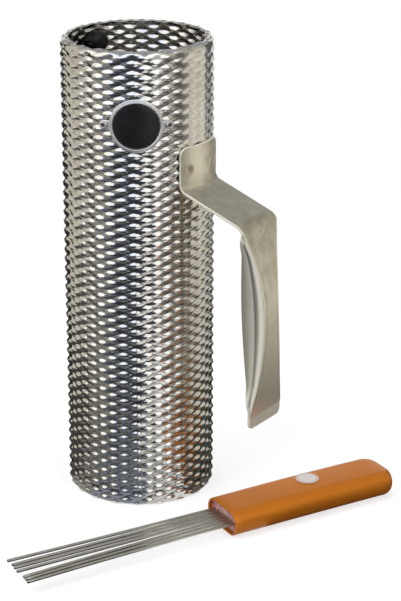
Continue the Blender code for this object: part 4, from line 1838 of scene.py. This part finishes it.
    def build_wires(self) -> None:
        """Make the row of wires, straight in the resin and splayed outside it."""
        points: list[Vector] = []
        edges: list[tuple[int, int]] = []
        held, tip = self.socket_depth - self.wire_cover, self.wire_tip
        shares = [step / self.wire_steps for step in range(self.wire_steps)]
        line = [(held, 0.0), (held - tip, 0.0)]
        line += [(-self.wire_reach * share, share**self.splay_power) for share in shares]
        line += [(-self.wire_reach + tip, 1.0), (-self.wire_reach, 1.0)]
        for index, across in self.wire_rows():
            start = len(points)
            for along, bend in line:
                spot = (along, across + self.splay[index] * bend, self.middle + self.lift[index] * bend)
                points.append(self.frame @ Vector(spot))
            edges.extend((start + step, start + step + 1) for step in range(len(line) - 1))
        mesh = bpy.data.meshes.new("wire_lines")
        mesh.from_pydata(points, edges, [])
        colours = (0.57, 0.56, 0.51), (0.40, 0.38, 0.34)
        finish = MetalFinish("drawn_wire", *colours, 0.24, 0.40, 1400.0, (30.0, 1.0, 1.0), self.turn, 0.15)
        values = {
            "Geometry": None,
            "Radius": self.wire_radius,
            "Sides": self.wire_sides,
            "Tip": self.wire_tip_share,
            "Material": finish.material(),
        }
        piece = grow("scraper_wires", values, self.draw_wires, mesh)
        piece.data.set_sharp_from_angle(angle=math.radians(50))
        nodes = [f"tine_{index + 1}" for index, _ in self.wire_rows()]
        self.hand_over(piece, finish, Slot.WIRE, Body.SCRAPER, *nodes)

    def build_label(self) -> None:
        """Make the blank round label on top of the grip."""
        low = self.depth_at(self.label_along) + GAP
        high = low + self.label_thickness
        centre = self.frame @ Vector((self.label_along, self.label_aside, 0.0))
        soft = self.label_thickness / 3
        profile = [(0.0, low), (self.label_radius, low), (self.label_radius, high - soft)]
        profile += [(self.label_radius - soft, high), (0.0, high)]
        label = make_piece("round_label", *lathe(profile, self.label_turns, Matrix.Translation(centre)))
        finish = LabelFinish("label_film", tuple(centre + Vector((0.0, 0.0, high))), self.label_radius)
        self.hand_over(label, finish, Slot.PAPER, Body.SCRAPER, "scraper_label")

    def build(self) -> None:
        """Make every piece of the scraper."""
        for step in (self.build_grip, self.build_resin, self.build_wires, self.build_label):
            step()


# The studio


@dataclass(frozen=True)
class Softbox:
    """A rectangular area lamp that looks at a point."""

    name: str
    azimuth: float
    elevation: float
    distance: float
    size: Pair
    watts: float

    def build(self, target: Vector) -> None:
        """Hang the lamp, with its azimuth measured from -Y towards +X in degrees.

        Args:
            target: The point that it looks at.
        """
        lamp = bpy.data.lights.new(self.name, "AREA")
        lamp.shape = "RECTANGLE"
        lamp.size, lamp.size_y = self.size
        lamp.energy = self.watts
        turn, rise = math.radians(self.azimuth), math.radians(self.elevation)
        away = Vector((math.sin(turn) * math.cos(rise), -math.cos(turn) * math.cos(rise), math.sin(rise)))
        holder = link(self.name, lamp)
        holder.location = target + away * self.distance
        holder.rotation_euler = away.to_track_quat("Z", "Y").to_euler()
        holder.visible_camera = False
        holder.visible_glossy = False


@dataclass(frozen=True)
class Card:
    """A curved card round the set, or a ring of cloth on the table. Only reflections in the metal show it."""

    name: str
    azimuths: Pair
    inner: Pair
    outer: Pair
    colour: Colour
    step: float = 4.0

    def build(self, centre: Vector) -> None:
        """Stand the card round a centre.

        Args:
            centre: The middle of the set, on the table. The card's azimuths are measured from -Y towards +X
                in degrees, and its inner and outer edges are (radius, height) pairs.
        """
        count = max(2, math.ceil((self.azimuths[1] - self.azimuths[0]) / self.step))
        points: list[Vector] = []
        for turn in np.radians(np.linspace(*self.azimuths, count + 1)):
            away = Vector((math.sin(turn), -math.cos(turn), 0.0))
            for radius, height in (self.inner, self.outer):
                points.append(centre + away * radius + Vector((0.0, 0.0, height)))
        faces = [(2 * index, 2 * index + 2, 2 * index + 3, 2 * index + 1) for index in range(count)]
        mesh = plain_mesh(self.name, points, faces)
        material = bpy.data.materials.new(self.name)
        board = Board.of(material)
        glow = board.put("ShaderNodeEmission", {"Color": self.colour, "Strength": 1.0})
        board.add("ShaderNodeOutputMaterial", {"Surface": glow})
        mesh.materials.append(material)
        card = link(self.name, mesh)
        card.visible_camera = False
        card.visible_diffuse = False
        card.visible_transmission = False
        card.visible_shadow = False


@dataclass(frozen=True)
class Side:
    """What one side of the set holds: rings of cloth on the table, and bands of card on the wall behind it.

    A ring is (outer radius, brightness), and a band is (top, brightness).
    """

    name: str
    azimuths: Pair
    tint: Colour
    rings: tuple[Pair, ...]
    bands: tuple[Pair, ...]
    cloth_height: float = 0.0008
    cloth_inner: float = 0.002
    # Folds of the cloth close to the foot, light and dark by turns: outer radius, share of the first ring.
    folds: tuple[Pair, ...] = ((0.066, 2.2), (0.080, 0.3), (0.098, 1.9))

    def cards(self, wall: float) -> Iterable[Card]:
        """Cut the side's cards.

        Args:
            wall: The wall's distance from the middle of the set.

        Yields:
            Each ring of cloth, then each band of card.
        """
        inner = self.cloth_inner
        folds = tuple((outer, share * self.rings[0][1]) for outer, share in self.folds)
        for outer, level in folds + self.rings:
            colour = tuple(level * part for part in self.tint)
            edges = (inner, self.cloth_height), (outer, self.cloth_height)
            yield Card(f"{self.name}_cloth", self.azimuths, *edges, colour)
            inner = outer
        base = 0.0
        for head, level in self.bands:
            colour = tuple(level * part for part in self.tint)
            yield Card(f"{self.name}_card", self.azimuths, (wall, base), (wall, head), colour)
            base = head


@dataclass(frozen=True)
class Viewpoint:
    """The photograph's camera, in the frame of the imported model."""

    place: Triple = (-0.0214, -1.2813, 0.6641)
    pitch: float = 0.365969
    yaw: float = math.radians(0.722)
    roll: float = -0.002657
    focal_px: float = 1875.6
    frame_px: tuple[int, int] = (401, 601)
    sensor: float = 36.0
    clip: Pair = (0.01, 50.0)

    def build(self) -> None:
        """Make the camera and use it."""
        cp, sp, cy, sy = math.cos(self.pitch), math.sin(self.pitch), math.cos(self.yaw), math.sin(self.yaw)
        ahead = Vector((sy * cp, cy * cp, -sp))
        right = Vector((cy, -sy, 0.0))
        down = ahead.cross(right)
        cr, sr = math.cos(self.roll), math.sin(self.roll)
        side, drop = cr * right + sr * down, cr * down - sr * right
        lens = bpy.data.cameras.new("camera")
        lens.sensor_width = self.sensor
        lens.sensor_fit = "AUTO"
        lens.lens = self.focal_px * self.sensor / max(self.frame_px)
        lens.clip_start, lens.clip_end = self.clip
        camera = link("camera", lens)
        turned = Matrix((side, -drop, -ahead)).transposed().to_4x4()
        camera.matrix_world = Matrix.Translation(self.place) @ turned
        bpy.context.scene.camera = camera


@dataclass
class Studio:
    """The white table and backdrop, the cards that the metal reflects, the lamps and the camera."""

    centre: Vector
    table_radius: float = 0.46
    table_top: float = -0.0002
    table_foot: float = -0.004
    table_grey: float = 0.40
    table_glow: float = 0.68
    table_turns: int = 96
    ambient: float = 0.42
    wall: float = 1.3
    ceiling: float = 2.0
    ceiling_colour: Colour = (0.40, 0.41, 0.43)
    beige: Colour = (1.05, 1.0, 0.86)
    cream: Colour = (1.03, 1.0, 0.92)
    taupe: Colour = (1.06, 0.99, 0.87)
    slate: Colour = (0.90, 0.97, 1.13)
    grey: Colour = (1.01, 1.0, 0.98)
    target: Triple = (0.0, 0.0, 0.15)
    lamps: tuple[Softbox, ...] = (
        Softbox("key_left", -62.0, 42.0, 1.25, (0.8, 0.8), 7.0),
        Softbox("fill_right", 40.0, 36.0, 1.4, (0.5, 0.9), 5.0),
        Softbox("top", 170.0, 78.0, 1.3, (0.9, 0.6), 6.0),
    )

    def sides(self) -> tuple[Side, ...]:
        """Lay out the sides: paper to the left and right, lamps in a dark room in front.

        Returns:
            The sides, from the back round by the left.
        """
        wall, top, grey, slate = self.wall, self.ceiling, self.grey, self.slate
        return (
            Side("back_left", (-180, -150), grey, ((wall, 0.03),), ((0.7, 0.80), (top, 0.30))),
            Side("flag_left", (-150, -132), grey, ((wall, 0.03),), ((0.7, 0.03), (top, 0.45))),
            Side("paper_left", (-132, -92), self.beige,
                 ((0.13, 0.05), (0.34, 0.06), (0.48, 0.30), (0.90, 0.58), (wall, 0.64)), ((top, 0.60),)),
            Side("paper_edge", (-92, -78), grey, ((0.25, 0.06), (wall, 0.10)), ((0.26, 0.05), (top, 0.9))),
            Side("lamp_left", (-78, -45), self.cream,
                 ((0.16, 0.14), (0.6, 0.25), (0.85, 0.32), (wall, 0.5)),
                 ((0.10, 0.3), (0.24, 0.05), (top, 1.3))),
            Side("lamp_mid", (-45, -25), slate,
                 ((0.12, 0.14), (0.6, 0.08), (0.85, 0.12), (wall, 0.25)), ((0.5, 0.20), (top, 1.3))),
            Side("lamp_front", (-25, -5), slate,
                 ((0.12, 0.14), (0.18, 0.08), (wall, 0.04)), ((0.35, 0.07), (0.65, 0.22), (top, 1.25))),
            Side("camera", (-5, 5), slate,
                 ((0.12, 0.16), (0.18, 0.08), (wall, 0.05)), ((0.35, 0.07), (0.85, 0.20), (top, 1.25))),
            Side("lamp_gap", (5, 15), grey,
                 ((0.10, 0.3), (0.42, 0.75), (wall, 0.06)), ((0.25, 0.08), (top, 1.15))),
            Side("lamp_right", (15, 30), grey,
                 ((0.12, 0.35), (0.42, 1.0), (0.9, 0.26), (wall, 0.6)), ((0.25, 0.8), (top, 1.3))),
            Side("lamp_rim", (30, 45), grey,
                 ((0.12, 0.4), (0.3, 0.50), (0.85, 0.18), (wall, 0.6)), ((0.3, 0.45), (top, 1.25))),
            Side("dusk", (45, 62), self.taupe,
                 ((0.2, 0.06), (0.85, 0.10), (wall, 0.2)), ((0.45, 0.17), (top, 0.55))),
            Side("paper_dim", (62, 76), self.taupe,
                 ((0.2, 0.05), (0.5, 0.16), (wall, 0.28)), ((0.6, 0.28), (top, 0.45))),
            Side("paper_right", (76, 125), self.beige,
                 ((0.12, 0.05), (0.26, 0.07), (0.40, 0.26), (0.60, 0.52), (wall, 0.74)),
                 ((0.6, 0.60), (top, 0.44))),
            Side("flag_right", (125, 150), grey,
                 ((0.45, 0.03), (0.60, 0.15), (wall, 0.38)), ((0.7, 0.12), (top, 0.42))),
            Side("back_right", (150, 180), grey,
                 ((0.45, 0.03), (0.60, 0.15), (wall, 0.48)), ((0.7, 0.80), (top, 0.30))),
        )

    def build_world(self) -> None:
        """Make the white backdrop and a plain even light."""
        world = bpy.data.worlds.new("studio")
        bpy.context.scene.world = world
        board = Board.of(world)
        light = board.mix(board.seen(), (self.ambient,) * 3, (1.0, 1.0, 1.0))
        backdrop = board.put("ShaderNodeBackground", {"Color": light, "Strength": 1.0})
        board.add("ShaderNodeOutputWorld", {"Surface": backdrop})

    def build_table(self) -> None:
        """Make the white table top, which keeps the shadows."""
        reach, foot, top = self.table_radius, self.table_foot, self.table_top
        profile = [(0.0, foot), (reach, foot), (reach, top), (0.0, top)]
        table = make_piece("table", *lathe(profile, self.table_turns, Matrix.Identity(4)))
        material = bpy.data.materials.new("table_white")
        board = Board.of(material)
        matt = board.put("ShaderNodeBsdfDiffuse", {"Color": (self.table_grey,) * 3})
        strength = board.times(board.seen(), self.table_glow)
        glow = board.put("ShaderNodeEmission", {"Color": (1.0, 1.0, 1.0), "Strength": strength})
        both = board.put("ShaderNodeAddShader", {0: matt, 1: glow})
        board.add("ShaderNodeOutputMaterial", {"Surface": both})
        table.data.materials.append(material)

    def build(self) -> None:
        """Set the studio up."""
        self.build_world()
        self.build_table()
        for side in self.sides():
            for card in side.cards(self.wall):
                card.build(self.centre)
        edges = (0.0, self.ceiling), (self.wall, self.ceiling)
        Card("ceiling", (-180, 180), *edges, self.ceiling_colour).build(self.centre)
        for lamp in self.lamps:
            lamp.build(Vector(self.target))
        Viewpoint().build()
        bpy.context.scene.view_settings.view_transform = "Standard"


def main() -> None:
    """Load the frame, build each sub-assembly round it and set up the studio."""
    logging.basicConfig(level=logging.INFO, format="%(name)s: %(message)s")
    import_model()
    low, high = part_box("barrel")
    axis = (low + high) / 2
    axis.z = low.z
    Studio(axis).build()
    tube = Tube(axis)
    tube.build()
    StripHandle(axis, tube.seat_radius, tube.height).build()
    Badge(axis, tube.seat_radius, tube.valley_radius, tube.sheet, tube.height).build()
    Buffer(axis, tube.bore_radius, tube.seat_radius, tube.height, tube.columns).build()
    Scraper(axis).build()


if __name__ == "__main__":
    main()
